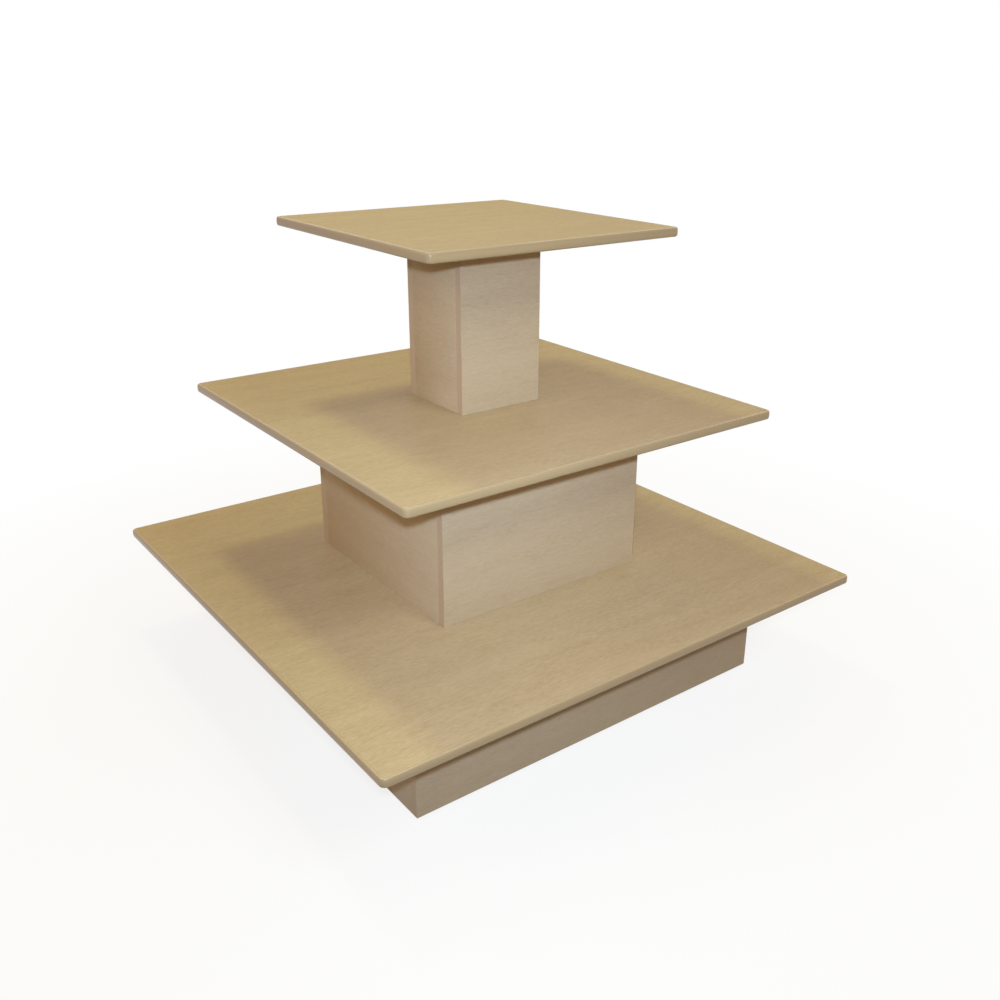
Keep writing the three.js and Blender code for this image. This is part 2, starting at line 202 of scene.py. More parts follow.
class ShaderBench(NodeBench):
    """The tree of one material, which ends in a Principled shader."""

    NOISE_SPAN = (0.25, 0.75)
    LEVEL_SPAN = (0.7, 1.0)

    def __init__(self, name: str) -> None:
        """Starts on a new material.

        Args:
            name: The material's name.
        """
        self.material = bpy.data.materials.new(name)
        self.material.use_nodes = True
        super().__init__(self.material.node_tree)
        self.shader = self.tree.nodes["Principled BSDF"]

    def place(self) -> tuple[Socket, Socket, Socket]:
        """Returns the x, y and z of the shaded point in the table's own frame."""
        return self.split(self.add("ShaderNodeTexCoord").outputs["Object"])

    def scaled(self, point: Sequence[Socket], scales: Point) -> Socket:
        """Returns a point with each of its numbers multiplied by its own scale."""
        return self.vector(*(self.math("MULTIPLY", part, scale) for part, scale in zip(point, scales)))

    def noise(self, vector: Socket, detail: float = 2.0) -> Socket:
        """Adds soft noise that stays about 0.5, with features about one unit across."""
        return self.add("ShaderNodeTexNoise", Vector=vector, Scale=1.0, Detail=detail).outputs["Fac"]

    def streaks(self, along: Socket, across: Socket, layer: GrainLayer, seed: float = 0.0) -> Socket:
        """Adds one layer of a grain.

        Args:
            along: Distance along the grain.
            across: Distance across it.
            layer: The layer's sizes.
            seed: The sheet's own seed, which is added to the layer's.

        Returns:
            A number that stays about 0.5.
        """
        stretched = self.vector(self.math("DIVIDE", along, layer.length),
                                self.math("DIVIDE", across, layer.width), seed + layer.seed)
        return self.noise(stretched, layer.detail)

    def spread(self, noise: Socket, low: float, high: float) -> Socket:
        """Returns noise mapped to a wider span."""
        return self.remap(noise, self.NOISE_SPAN, (low, high))

    def bump(self, height: Socket, depth: float, strength: float) -> None:
        """Raises the surface by a height.

        Args:
            height: The height, from 0 to 1.
            depth: What a height of 1 is, in metres.
            strength: How much of it shows.
        """
        node = self.add("ShaderNodeBump", Height=height, Distance=depth, Strength=strength)
        self.feed(self.shader.inputs["Normal"], node.outputs[0])

    def arris(self) -> Socket:
        """Finds the edges between upright and level faces.

        Returns:
            1 where the surface turns over such an edge, and 0 on the flats.
        """
        normal = self.add("ShaderNodeNewGeometry").outputs["True Normal"]
        upright = self.split(normal)[2]
        squared = self.math("MULTIPLY", upright, upright)
        turning = self.math("MULTIPLY", squared, self.math("SUBTRACT", 1.0, squared))
        return self.math("MULTIPLY", turning, 4.0, clamp=True)

    def levelness(self) -> Socket:
        """Finds the level faces.

        Returns:
            1 where the surface is level, falling to 0 where it stands at 45 degrees or steeper.
        """
        normal = self.add("ShaderNodeNewGeometry").outputs["Normal"]
        return self.remap(self.math("ABSOLUTE", self.split(normal)[2]), self.LEVEL_SPAN, (0.0, 1.0))

    def finish(self, colour: Socket, roughness: Socket, specular: float,
               metallic: float = 0.0) -> bpy.types.Material:
        """Joins the colour and roughness to the shader.

        Args:
            colour: The surface's colour.
            roughness: Its roughness.
            specular: Its specular level.
            metallic: 1 for a bare metal.

        Returns:
            The finished material.
        """
        self.feed(self.shader.inputs["Base Color"], colour)
        self.feed(self.shader.inputs["Roughness"], roughness)
        self.shader.inputs["Specular IOR Level"].default_value = specular
        self.shader.inputs["Metallic"].default_value = metallic
        return self.material


# Finishes


class Grain(Enum):
    """Which of x, y and z run along and across the grain of a printed sheet."""

    LEVEL_ALONG_X = (0, 1)
    UPRIGHT_ALONG_X = (0, 2)
    UPRIGHT_ALONG_Y = (1, 2)


class Lie(Enum):
    """Which way the fibres of a length of timber run."""

    ALONG_X = 0
    ALONG_Y = 1
    ALONG_Z = 2


@dataclass(frozen=True)
class MapleLaminate:
    """Printed maple laminate: slow tonal drift, grain streaks, short pores and a faint cathedral figure.

    Attributes:
        name: The material's name.
        grain: Which way its grain runs.
        pale: Colour at the light end of the tone.
        deep: Colour at the dark end.
        blush: A warmer colour that comes and goes over the sheet.
        contrast: How strongly the finer layers show.
        seed: Which part of the print the sheet is cut from.
    """

    name: str
    grain: Grain
    pale: Colour = (0.555, 0.449, 0.308)
    deep: Colour = (0.430, 0.334, 0.217)
    blush: Colour = (0.500, 0.382, 0.253)
    pore: Colour = (0.27, 0.175, 0.095)
    roughness: Span = (0.50, 0.62)
    specular: float = 0.18
    contrast: float = 1.0
    seed: float = 1.0
    waver: GrainLayer = GrainLayer(0.30, 0.10, seed=0.0)
    waver_reach: float = 0.035
    drift: GrainLayer = GrainLayer(0.60, 0.050, seed=3.1)
    drift_tone: Span = (0.36, 0.62)
    streak: GrainLayer = GrainLayer(0.070, 0.0060, seed=7.7, swing=0.14, detail=3.0)
    mottle: GrainLayer = GrainLayer(0.055, 0.020, seed=5.3, swing=0.12)
    dash: GrainLayer = GrainLayer(0.015, 0.0036, seed=13.9, swing=0.26)
    fibre: GrainLayer = GrainLayer(0.018, 0.0010, seed=11.3, swing=0.14)
    warmth: GrainLayer = GrainLayer(0.5, 0.16, seed=17.0)
    most_warmth: float = 0.34
    pores: GrainLayer = GrainLayer(0.0075, 0.0008, seed=23.0, detail=1.0)
    pores_above: float = 0.64
    pore_share: float = 0.16
    pore_relief: float = 0.7
    figure_stretch: float = 0.11
    figure_step: float = 0.043
    figure_scale: float = 9.0
    figure_warp: float = 3.2
    figure_warp_scale: float = 1.4
    figure_tone: float = 0.08
    relief: float = 0.00008
    relief_strength: float = 0.22

    def material(self) -> bpy.types.Material:
        """Mixes the layers of the print.

        Returns:
            The laminate as a material.
        """
        bench = ShaderBench(self.name)
        point = bench.place()
        along, across = (point[axis] for axis in self.grain.value)
        waver = bench.streaks(along, across, self.waver, self.seed)
        across = bench.math("ADD", across, bench.math("MULTIPLY", waver, self.waver_reach))
        drift = bench.streaks(along, across, self.drift, self.seed)
        layers = (self.streak, self.mottle, self.dash, self.fibre)
        streak, mottle, dash, fibre = (bench.streaks(along, across, layer, self.seed) for layer in layers)
        figure = bench.math("MULTIPLY", self.figure(bench, along, across), self.figure_tone)
        tone = bench.math("ADD", bench.spread(drift, *self.drift_tone), figure)
        for noise, layer in zip((streak, mottle, dash, fibre), layers):
            swing = layer.swing * self.contrast
            tone = bench.math("ADD", tone, bench.spread(noise, -swing, swing))
        tone = bench.math("ADD", tone, 0.0, clamp=True)
        colour = bench.blend(tone, self.deep, self.pale)
        warmth = bench.streaks(along, across, self.warmth, self.seed)
        colour = bench.blend(bench.spread(warmth, 0.0, self.most_warmth), colour, self.blush)
        pores = bench.streaks(along, across, self.pores, self.seed)
        pitted = bench.math("MULTIPLY", bench.math("GREATER_THAN", pores, self.pores_above), self.pore_share)
        colour = bench.blend(pitted, colour, self.pore)
        height = bench.math("ADD", fibre, bench.math("MULTIPLY", pores, self.pore_relief))
        bench.bump(height, self.relief, self.relief_strength)
        return bench.finish(colour, bench.spread(streak, *self.roughness), self.specular)

    def figure(self, bench: ShaderBench, along: Socket, across: Socket) -> Socket:
        """Draws the cathedral figure, as warped rings drawn out along the grain.

        Args:
            bench: The material's bench.
            along: Distance along the grain.
            across: Distance across it.

        Returns:
            A number from 0 to 1.
        """
        place = bench.vector(bench.math("MULTIPLY", along, self.figure_stretch),
                             bench.math("ADD", across, self.figure_step * self.seed), self.seed)
        rings = bench.add("ShaderNodeTexWave", {"wave_type": "RINGS", "rings_direction": "SPHERICAL"},
                          Vector=place, Scale=self.figure_scale, Distortion=self.figure_warp,
                          Detail_Scale=self.figure_warp_scale)
        return rings.outputs["Fac"]


@dataclass(frozen=True)
class MapleBand:
    """Plastic band printed to match: fine streaks along it and a slow rubbed drift.

    Attributes:
        name: The material's name.
        upright: Whether it stands on end, so that its streaks run up and down.
        pale: Colour at the light end of the tone.
        deep: Colour at the dark end.
        level: Colour of its level faces, as the sheet's; the upright faces get the darker pale and deep,
            partly the band's browner plastic and partly painted shade.
    """

    name: str
    upright: bool = False
    pale: Colour = (0.395, 0.290, 0.156)
    deep: Colour = (0.335, 0.237, 0.121)
    level: Colour = (0.490, 0.380, 0.229)
    roughness: Span = (0.16, 0.22)
    specular: float = 0.42
    streak: GrainLayer = GrainLayer(0.09, 0.0032, seed=2.3, swing=0.22, detail=3.0)
    drift: GrainLayer = GrainLayer(0.42, 0.02, seed=5.9)
    drift_tone: Span = (0.25, 0.75)
    fibre: GrainLayer = GrainLayer(0.02, 0.0009, seed=8.4, swing=0.10)
    relief: float = 0.00003
    relief_strength: float = 0.15

    def material(self) -> bpy.types.Material:
        """Mixes the streaks, the drift and the level colour.

        Returns:
            The band as a material.
        """
        bench = ShaderBench(self.name)
        x, y, z = bench.place()
        round_the_edge = bench.math("ADD", x, y)
        along, across = (z, round_the_edge) if self.upright else (round_the_edge, z)
        layers = (self.drift, self.streak, self.fibre)
        drift, streak, fibre = (bench.streaks(along, across, layer) for layer in layers)
        streaked = bench.spread(streak, -self.streak.swing, self.streak.swing)
        fibrous = bench.spread(fibre, -self.fibre.swing, self.fibre.swing)
        tone = bench.math("ADD", bench.spread(drift, *self.drift_tone), streaked)
        tone = bench.math("ADD", tone, fibrous, clamp=True)
        colour = bench.blend(tone, self.deep, self.pale)
        # Upright faces darker than level ones: partly the band's own browner plastic, partly painted shade.
        colour = bench.blend(bench.levelness(), colour, self.level)
        bench.bump(fibre, self.relief, self.relief_strength)
        return bench.finish(colour, bench.spread(drift, *self.roughness), self.specular)


@dataclass(frozen=True)
class Chipboard:
    """The sawn core of a laminated board: pressed chips of mixed browns, with pits between them."""

    name: str
    pale: Colour = (0.47, 0.34, 0.20)
    dark: Colour = (0.20, 0.125, 0.065)
    chips_in_a_metre: Point = (260.0, 260.0, 520.0)
    least_roughness: float = 0.78
    roughness_swing: float = 0.15
    specular: float = 0.2
    relief: float = 0.0006
    relief_strength: float = 0.5

    def material(self) -> bpy.types.Material:
        """Presses the chips.

        Returns:
            The core as a material.
        """
        bench = ShaderBench(self.name)
        place = bench.scaled(bench.place(), self.chips_in_a_metre)
        chips = bench.add("ShaderNodeTexVoronoi", Scale=1.0, Vector=place)
        shade = bench.split(chips.outputs["Color"])[0]
        colour = bench.blend(shade, self.dark, self.pale)
        bench.bump(chips.outputs["Distance"], self.relief, self.relief_strength)
        roughness = bench.math("MULTIPLY", shade, self.roughness_swing)
        return bench.finish(colour, bench.math("ADD", roughness, self.least_roughness), self.specular)


@dataclass(frozen=True)
class Softwood:
    """Planed softwood: growth rings cut by the surface, so that an end shows arcs and a side shows lines.

    Attributes:
        name: The material's name.
        lie: Which way its fibres run.
        early: Colour of the spring growth.
        late: Colour of the dark summer line.
        ring: Width of a growth ring.
        waver_scale: Scale of the rings' wandering along the fibres and across them.
        fibre_scale: Scale of the fibres, likewise.
    """

    name: str
    lie: Lie
    early: Colour = (0.640, 0.470, 0.280)
    late: Colour = (0.430, 0.265, 0.125)
    ring: float = 0.0032
    ring_edge: float = 4.0
    ring_share: float = 0.7
    waver_scale: Point = (3.0, 9.0, 9.0)
    waver_reach: float = 0.012
    fibre_scale: Point = (25.0, 900.0, 900.0)
    most_fibre: float = 0.22
    roughness: Span = (0.62, 0.80)
    specular: float = 0.25
    relief: float = 0.00015
    relief_strength: float = 0.3

    def material(self) -> bpy.types.Material:
        """Grows the rings and the fibres.

        Returns:
            The timber as a material.
        """
        bench = ShaderBench(self.name)
        point = bench.place()
        along = point[self.lie.value]
        first, second = (point[axis] for axis in range(3) if axis != self.lie.value)
        waver = bench.noise(bench.scaled((along, first, second), self.waver_scale))
        from_heart = bench.distance(first, second)
        radius = bench.math("ADD", from_heart, bench.math("MULTIPLY", waver, self.waver_reach))
        turn = bench.math("FRACT", bench.math("DIVIDE", radius, self.ring))
        latewood = bench.math("POWER", turn, self.ring_edge)
        fibre = bench.noise(bench.scaled((along, first, second), self.fibre_scale))
        colour = bench.blend(bench.math("MULTIPLY", latewood, self.ring_share), self.early, self.late)
        colour = bench.blend(bench.spread(fibre, 0.0, self.most_fibre), colour, self.late)
        bench.bump(bench.math("ADD", fibre, latewood), self.relief, self.relief_strength)
        return bench.finish(colour, bench.spread(fibre, *self.roughness), self.specular)


@dataclass(frozen=True)
class ZincPlate:
    """Bright zinc plating: a clouded blue-grey passivation over fine drawing marks."""

    name: str
    bright: Colour = (0.66, 0.67, 0.68)
    clouded: Colour = (0.50, 0.515, 0.54)
    cloud_scale: Point = (160.0, 160.0, 160.0)
    cloud_detail: float = 4.0
    mark_scale: Point = (500.0, 500.0, 4000.0)
    roughness: Span = (0.24, 0.42)
    specular: float = 0.5
    relief: float = 0.00003
    relief_strength: float = 0.25

    def material(self) -> bpy.types.Material:
        """Clouds the plating and scores the marks.

        Returns:
            The plating as a material.
        """
        bench = ShaderBench(self.name)
        point = bench.place()
        cloud = bench.noise(bench.scaled(point, self.cloud_scale), self.cloud_detail)
        marks = bench.noise(bench.scaled(point, self.mark_scale))
        colour = bench.blend(bench.spread(cloud, 0.0, 1.0), self.bright, self.clouded)
        bench.bump(marks, self.relief, self.relief_strength)
        return bench.finish(colour, bench.spread(cloud, *self.roughness), self.specular, metallic=1.0)


@dataclass(frozen=True)
class BlackNylon:
    """Moulded nylon: a spark-eroded texture with grey scuffs on the edges."""

    name: str
    black: Colour = (0.020, 0.019, 0.018)
    scuffed: Colour = (0.075, 0.072, 0.068)
    pebble_scale: Point = (1400.0, 1400.0, 1400.0)
    scuff_scale: Point = (120.0, 120.0, 120.0)
    scuff_detail: float = 4.0
    most_scuffed: float = 0.8
    roughness: Span = (0.45, 0.62)
    specular: float = 0.4
    relief: float = 0.0001
    relief_strength: float = 0.3

    def material(self) -> bpy.types.Material:
        """Pebbles the surface and scuffs its edges.

        Returns:
            The nylon as a material.
        """
        bench = ShaderBench(self.name)
        point = bench.place()
        pebble = bench.noise(bench.scaled(point, self.pebble_scale))
        scuffs = bench.noise(bench.scaled(point, self.scuff_scale), self.scuff_detail)
        worn = bench.math("MULTIPLY", bench.arris(), bench.spread(scuffs, 0.0, self.most_scuffed))
        colour = bench.blend(worn, self.black, self.scuffed)
        bench.bump(pebble, self.relief, self.relief_strength)
        return bench.finish(colour, bench.spread(scuffs, *self.roughness), self.specular)


@dataclass
class FinishBoard:
    """Every finish of the table, made once and shared by its pieces."""

    deck: bpy.types.Material = field(init=False)
    panel_x: bpy.types.Material = field(init=False)
    panel_y: bpy.types.Material = field(init=False)
    deck_band: bpy.types.Material = field(init=False)
    end_band: bpy.types.Material = field(init=False)
    core: bpy.types.Material = field(init=False)
    timber: dict[Lie, bpy.types.Material] = field(init=False)
    zinc: bpy.types.Material = field(init=False)
    nylon: bpy.types.Material = field(init=False)

    def __post_init__(self) -> None:
        """Makes the materials."""
        # The decks' copy of the laminate is yellower than the panels': painted warm overhead light on the
        # level sheets.
        self.deck = MapleLaminate(
            "maple_laminate_deck", Grain.LEVEL_ALONG_X, pale=(0.555, 0.436, 0.269),
            deep=(0.430, 0.324, 0.189), blush=(0.500, 0.371, 0.221), contrast=1.5).material()
        self.panel_x = MapleLaminate("maple_laminate_front", Grain.UPRIGHT_ALONG_X, seed=4.0).material()
        self.panel_y = MapleLaminate("maple_laminate_side", Grain.UPRIGHT_ALONG_Y, seed=9.0).material()
        self.deck_band = MapleBand("maple_band").material()
        self.end_band = MapleBand(
            "maple_end_band", upright=True, pale=(0.512, 0.396, 0.275), deep=(0.471, 0.360, 0.247),
            roughness=(0.50, 0.60), specular=0.15).material()
        self.core = Chipboard("chipboard_core").material()
        self.timber = {lie: Softwood(f"softwood_{lie.name.lower()}", lie).material() for lie in Lie}
        self.zinc = ZincPlate("zinc_plate").material()
        self.nylon = BlackNylon("black_nylon").material()


# Geometry trees


class GeometryBench(NodeBench):
    """A geometry tree with named inputs, which ends in Realize Instances and Set Material."""

    KINDS = {float: "NodeSocketFloat", int: "NodeSocketInt"}
    TURN_STEPS = 20
    RIDGE_SIDES = 4

    def __init__(self, name: str, sizes: dict[str, Union[float, int]]) -> None:
        """Starts on a new tree.

        Args:
            name: The tree's name.
            sizes: Its sizes by name, each with the value that it starts from.
        """
        super().__init__(bpy.data.node_groups.new(name, "GeometryNodeTree"))
        face = self.tree.interface
        face.new_socket("Geometry", in_out="INPUT", socket_type="NodeSocketGeometry")
        for size, start in sizes.items():
            face.new_socket(size, in_out="INPUT", socket_type=self.KINDS[type(start)]).default_value = start
        face.new_socket("Material", in_out="INPUT", socket_type="NodeSocketMaterial")
        face.new_socket("Geometry", in_out="OUTPUT", socket_type="NodeSocketGeometry")
        self.start = self.tree.nodes.new("NodeGroupInput")
        self.end = self.tree.nodes.new("NodeGroupOutput")

    def size(self, name: str) -> Socket:
        """Returns one of the tree's inputs."""
        return self.start.outputs[name]

    def join(self, *parts: Socket) -> Socket:
        """Joins several geometries.

        Args:
            *parts: The geometries.

        Returns:
            All of them as one.
        """
        node = self.tree.nodes.new("GeometryNodeJoinGeometry")
        for part in parts:
            self.tree.links.new(part, node.inputs[0])
        return node.outputs[0]

    def cut(self, solid: Socket, cutters: Iterable[Socket]) -> Socket:
        """Cuts shapes out of a solid.

        Args:
            solid: The solid.
            cutters: The shapes to take away.

        Returns:
            What is left of the solid.
        """
        settings = {"operation": "DIFFERENCE", "solver": "EXACT"}
        node = self.add("GeometryNodeMeshBoolean", settings, Mesh_1=solid)
        for cutter in cutters:
            self.tree.links.new(cutter, node.inputs["Mesh 2"])
        return node.outputs[0]

    def move(self, geometry: Socket, x: Feed = 0.0, y: Feed = 0.0, z: Feed = 0.0) -> Socket:
        """Returns a geometry moved along the three axes."""
        step = self.vector(x, y, z)
        return self.add("GeometryNodeTransform", Geometry=geometry, Translation=step).outputs[0]

    def four_points(self) -> Socket:
        """Returns the four corners of a rectangle, from the inputs Spacing X, Spacing Y and Height."""
        grid = self.add("GeometryNodeMeshGrid", Size_X=self.size("Spacing X"), Size_Y=self.size("Spacing Y"),
                        Vertices_X=2, Vertices_Y=2)
        return self.move(grid.outputs[0], z=self.size("Height"))

    def ridge(self) -> Socket:
        """Winds a thread's ridge up the Z axis, from the inputs whose names begin with Thread, and Pitch.

        Returns:
            The ridge.
        """
        radius, length, depth = (self.size(f"Thread {part}") for part in ("radius", "length", "depth"))
        spiral = self.add("GeometryNodeCurveSpiral", Resolution=self.TURN_STEPS, Start_Radius=radius,
                          End_Radius=radius, Rotations=self.math("DIVIDE", length, self.size("Pitch")),
                          Height=length)
        level = self.add("GeometryNodeSetCurveNormal", {"mode": "Z_UP"}, Curve=spiral.outputs[0])
        section = self.add("GeometryNodeCurvePrimitiveCircle", Resolution=self.RIDGE_SIDES, Radius=depth)
        ridge = self.add("GeometryNodeCurveToMesh", Curve=level.outputs[0], Profile_Curve=section.outputs[0],
                         Fill_Caps=True)
        return self.move(ridge.outputs[0], z=self.size("Thread from"))

    def close(self, geometry: Socket) -> bpy.types.NodeTree:
        """Ends the tree.

        Args:
            geometry: What the tree makes.

        Returns:
            The finished tree.
        """
        real = self.add("GeometryNodeRealizeInstances", Geometry=geometry).outputs[0]
        dressed = self.add("GeometryNodeSetMaterial", Geometry=real, Material=self.size("Material"))
        self.feed(self.end.inputs["Geometry"], dressed.outputs[0])
        return self.tree


def band_tree() -> bpy.types.NodeTree:
    """Draws an edge band along a path, with a crowned face, rounded arrises and crisp inner edges.

    Returns:
        The tree.
    """
    bench = GeometryBench("edge band along a path", {
        "Width": 0.006, "Depth": 0.019, "Arris": 0.0035, "Crown": 0.001, "Inner arris": 0.0002,
        "Arris steps": 6, "Face steps": 2})
    section = bench.add("GeometryNodeCurvePrimitiveQuadrilateral", Width=bench.size("Width"),
                        Height=bench.size("Depth")).outputs[0]
    x, y, _ = bench.split(bench.add("GeometryNodeInputPosition").outputs[0])
    outside = bench.math("GREATER_THAN", x, 0.0)
    widening = bench.math("SUBTRACT", bench.size("Arris"), bench.size("Inner arris"))
    rounding = bench.math("ADD", bench.math("MULTIPLY", outside, widening), bench.size("Inner arris"))
    fillet = bench.add("GeometryNodeFilletCurve", {"mode": "POLY"}, Curve=section, Radius=rounding,
                       Count=bench.size("Arris steps"), Limit_Radius=True)
    fine = bench.add("GeometryNodeSubdivideCurve", Curve=fillet.outputs[0], Cuts=bench.size("Face steps"))
    outward = bench.math("ADD", bench.math("DIVIDE", x, bench.size("Width")), 0.5)
    upward = bench.math("DIVIDE", y, bench.math("MULTIPLY", bench.size("Depth"), 0.5))
    fall = bench.math("MULTIPLY", bench.math("MULTIPLY", upward, upward), outward)
    back = bench.math("MULTIPLY", fall, bench.math("MULTIPLY", bench.size("Crown"), -1.0))
    crowned = bench.add("GeometryNodeSetPosition", Geometry=fine.outputs[0],
                        Offset=bench.vector(back, 0.0, 0.0))
    path = bench.add("GeometryNodeMeshToCurve", Mesh=bench.size("Geometry")).outputs[0]
    level = bench.add("GeometryNodeSetCurveNormal", {"mode": "Z_UP"}, Curve=path).outputs[0]
    band = bench.add("GeometryNodeCurveToMesh", Curve=level, Profile_Curve=crowned.outputs[0],
                     Fill_Caps=True)
    return bench.close(band.outputs[0])


def countersink_tree() -> bpy.types.NodeTree:
    """Drills four countersunk holes up through a board.

    Returns:
        The tree.
    """
    bench = GeometryBench("four countersunk holes", {
        "Spacing X": 0.4, "Spacing Y": 0.5, "Height": 0.2, "Depth": 0.03, "Shank": 0.0031, "Head": 0.0054,
        "Sink": 0.0031, "Facets": 24})
    shank = bench.add("GeometryNodeMeshCylinder", Vertices=bench.size("Facets"), Radius=bench.size("Shank"),
                      Depth=bench.math("MULTIPLY", bench.size("Depth"), 2.0)).outputs[0]
    cone = bench.add("GeometryNodeMeshCone", Vertices=bench.size("Facets"), Radius_Bottom=bench.size("Head"),
                     Radius_Top=bench.size("Shank"), Depth=bench.size("Sink")).outputs[0]
    cutters = []
    for cutter in (shank, cone):
        placed = bench.add("GeometryNodeInstanceOnPoints", Points=bench.four_points(), Instance=cutter)
        cutters.append(bench.add("GeometryNodeRealizeInstances", Geometry=placed.outputs[0]).outputs[0])
    return bench.close(bench.cut(bench.size("Geometry"), cutters))


def screw_tree() -> bpy.types.NodeTree:
    """Threads a screw, cuts its cross recess and sets four of them, each turned its own way.

    Returns:
        The tree.
    """
    bench = GeometryBench("four wood screws", {
        "Spacing X": 0.4, "Spacing Y": 0.5, "Height": 0.2, "Thread from": 0.012, "Thread length": 0.03,
        "Thread radius": 0.0024, "Pitch": 0.0024, "Thread depth": 0.0006, "Head at": 0.0,
        "Recess span": 0.005, "Recess width": 0.0011, "Recess depth": 0.002, "Seed": 5})
    span, width = bench.size("Recess span"), bench.size("Recess width")
    tall = bench.math("MULTIPLY", bench.size("Recess depth"), 2.0)
    slots = []
    for shape in (bench.vector(span, width, tall), bench.vector(width, span, tall)):
        block = bench.add("GeometryNodeMeshCube", Size=shape).outputs[0]
        slots.append(bench.move(block, z=bench.size("Head at")))
    screw = bench.join(bench.cut(bench.size("Geometry"), slots), bench.ridge())
    turn = bench.add("FunctionNodeRandomValue", Max=math.tau, Seed=bench.size("Seed")).outputs["Value"]
    placed = bench.add("GeometryNodeInstanceOnPoints", Points=bench.four_points(), Instance=screw,
                       Rotation=bench.vector(0.0, 0.0, turn))
    return bench.close(placed.outputs[0])


def stem_tree() -> bpy.types.NodeTree:
    """Winds a machine thread on a levelling stem standing at X, Y.

    Returns:
        The tree.
    """
    bench = GeometryBench("threaded stem", {
        "X": 0.0, "Y": 0.0, "Thread from": 0.018, "Thread length": 0.038, "Thread radius": 0.0036,
        "Pitch": 0.00125, "Thread depth": 0.0004})
    stem = bench.join(bench.size("Geometry"), bench.ridge())
    return bench.close(bench.move(stem, bench.size("X"), bench.size("Y")))


def pad_tree() -> bpy.types.NodeTree:
    """Sets grip ribs round the rim of a levelling pad standing at X, Y.

    Returns:
        The tree.
    """
    bench = GeometryBench("ribbed pad", {
        "X": 0.0, "Y": 0.0, "Ribs": 28, "Rim radius": 0.0186, "Rib from": 0.0018, "Rib height": 0.003,
        "Rib radius": 0.0006, "Rib facets": 8})
    ring = bench.add("GeometryNodeMeshCircle", Vertices=bench.size("Ribs"), Radius=bench.size("Rim radius"))
    rib = bench.add("GeometryNodeMeshCylinder", Vertices=bench.size("Rib facets"),
                    Radius=bench.size("Rib radius"), Depth=bench.size("Rib height")).outputs[0]
    middle = bench.math("ADD", bench.size("Rib from"), bench.math("MULTIPLY", bench.size("Rib height"), 0.5))
    ribs = bench.add("GeometryNodeInstanceOnPoints", Points=ring.outputs[0],
                     Instance=bench.move(rib, z=middle)).outputs[0]
    pad = bench.join(bench.size("Geometry"), ribs)
    return bench.close(bench.move(pad, bench.size("X"), bench.size("Y")))


# Meshes


def show(name: str, mesh: bpy.types.Mesh, materials: Iterable[bpy.types.Material]) -> bpy.types.Object:
    """Links a mesh to the scene as an object at the origin.

    Args:
        name: The object's name.
        mesh: Its mesh.
        materials: Its materials, by slot.

    Returns:
        The object.
    """
    piece = bpy.data.objects.new(name, mesh)
    for material in materials:
        mesh.materials.append(material)
    bpy.context.scene.collection.objects.link(piece)
    return piece


def dress(piece: bpy.types.Object, body: str, nodes: Iterable[str]) -> None:
    """Tells the frame what a finished piece is.

    Args:
        piece: The piece.
        body: The body that it moves with.
        nodes: The frame's nodes that it stands for.
    """
    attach(piece, body)
    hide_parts(*nodes)
    LOG.info("%s on %s, %d faces", piece.name, body, len(piece.data.polygons))


def grow(piece: bpy.types.Object, tree: bpy.types.NodeTree, sizes: dict[str, object]) -> bpy.types.Object:
    """Runs a geometry tree on an object and keeps the result as its plain mesh.

    Args:
        piece: The object whose mesh the tree starts from.
        tree: The tree.
        sizes: Values for the tree's inputs, by name.

    Returns:
        The same object, with its new mesh.
    """
    modifier = piece.modifiers.new(tree.name, "NODES")
    modifier.node_group = tree
    for socket in tree.interface.items_tree:
        if socket.in_out == "INPUT" and socket.name in sizes:
            modifier[socket.identifier] = sizes[socket.name]
    graph = bpy.context.evaluated_depsgraph_get()
    mesh = bpy.data.meshes.new_from_object(piece.evaluated_get(graph), preserve_all_data_layers=True,
                                           depsgraph=graph)
    piece.modifiers.remove(modifier)
    mesh.name = piece.name
    piece.data = mesh
    return piece


def soften(mesh: bpy.types.Mesh, degrees: float = 32.0) -> bpy.types.Mesh:
    """Shades a mesh smooth, except over edges sharper than an angle.

    Args:
        mesh: The mesh.
        degrees: The angle.

    Returns:
        The same mesh.
    """
    mesh.polygons.foreach_set("use_smooth", [True] * len(mesh.polygons))
    mesh.set_sharp_from_angle(angle=math.radians(degrees))
    return mesh


def settle(shape: bmesh.types.BMesh, name: str) -> bpy.types.Mesh:
    """Turns an edit mesh into a mesh with its faces outwards.

    Args:
        shape: The edit mesh, which is freed.
        name: The mesh's name.

    Returns:
        The mesh.
    """
    bmesh.ops.recalc_face_normals(shape, faces=shape.faces)
    mesh = bpy.data.meshes.new(name)
    shape.to_mesh(mesh)
    shape.free()
    return mesh


def join_rings(shape: bmesh.types.BMesh, rings: Sequence[Sequence[bmesh.types.BMVert]]) -> None:
    """Joins a row of rings with faces. A ring of one point is a pole.

    Args:
        shape: The edit mesh that the rings are in.
        rings: The rings, in order.
    """
    for lower, upper in pairwise(rings):
        facets = max(len(lower), len(upper))
        for step in range(facets):
            after = (step + 1) % facets
            corners = (lower[step % len(lower)], lower[after % len(lower)],
                       upper[after % len(upper)], upper[step % len(upper)])
            shape.faces.new(list(dict.fromkeys(corners)))


def turned(name: str, profile: Sequence[Span], facets: int) -> bpy.types.Mesh:
    """Turns a profile about the Z axis.

    Args:
        name: The mesh's name.
        profile: Radius and height of each point, from the axis round to the axis again, or a closed ring.
        facets: How many facets go round.

    Returns:
        A closed mesh.
    """
    shape = bmesh.new()
    rings = []
    for radius, height in profile:
        angles = [math.tau * step / facets for step in range(facets if radius else 1)]
        rings.append([shape.verts.new((radius * math.cos(angle), radius * math.sin(angle), height))
                      for angle in angles])
    closed = len(rings[0]) > 1
    join_rings(shape, rings + rings[:1] if closed else rings)
    return soften(settle(shape, name))


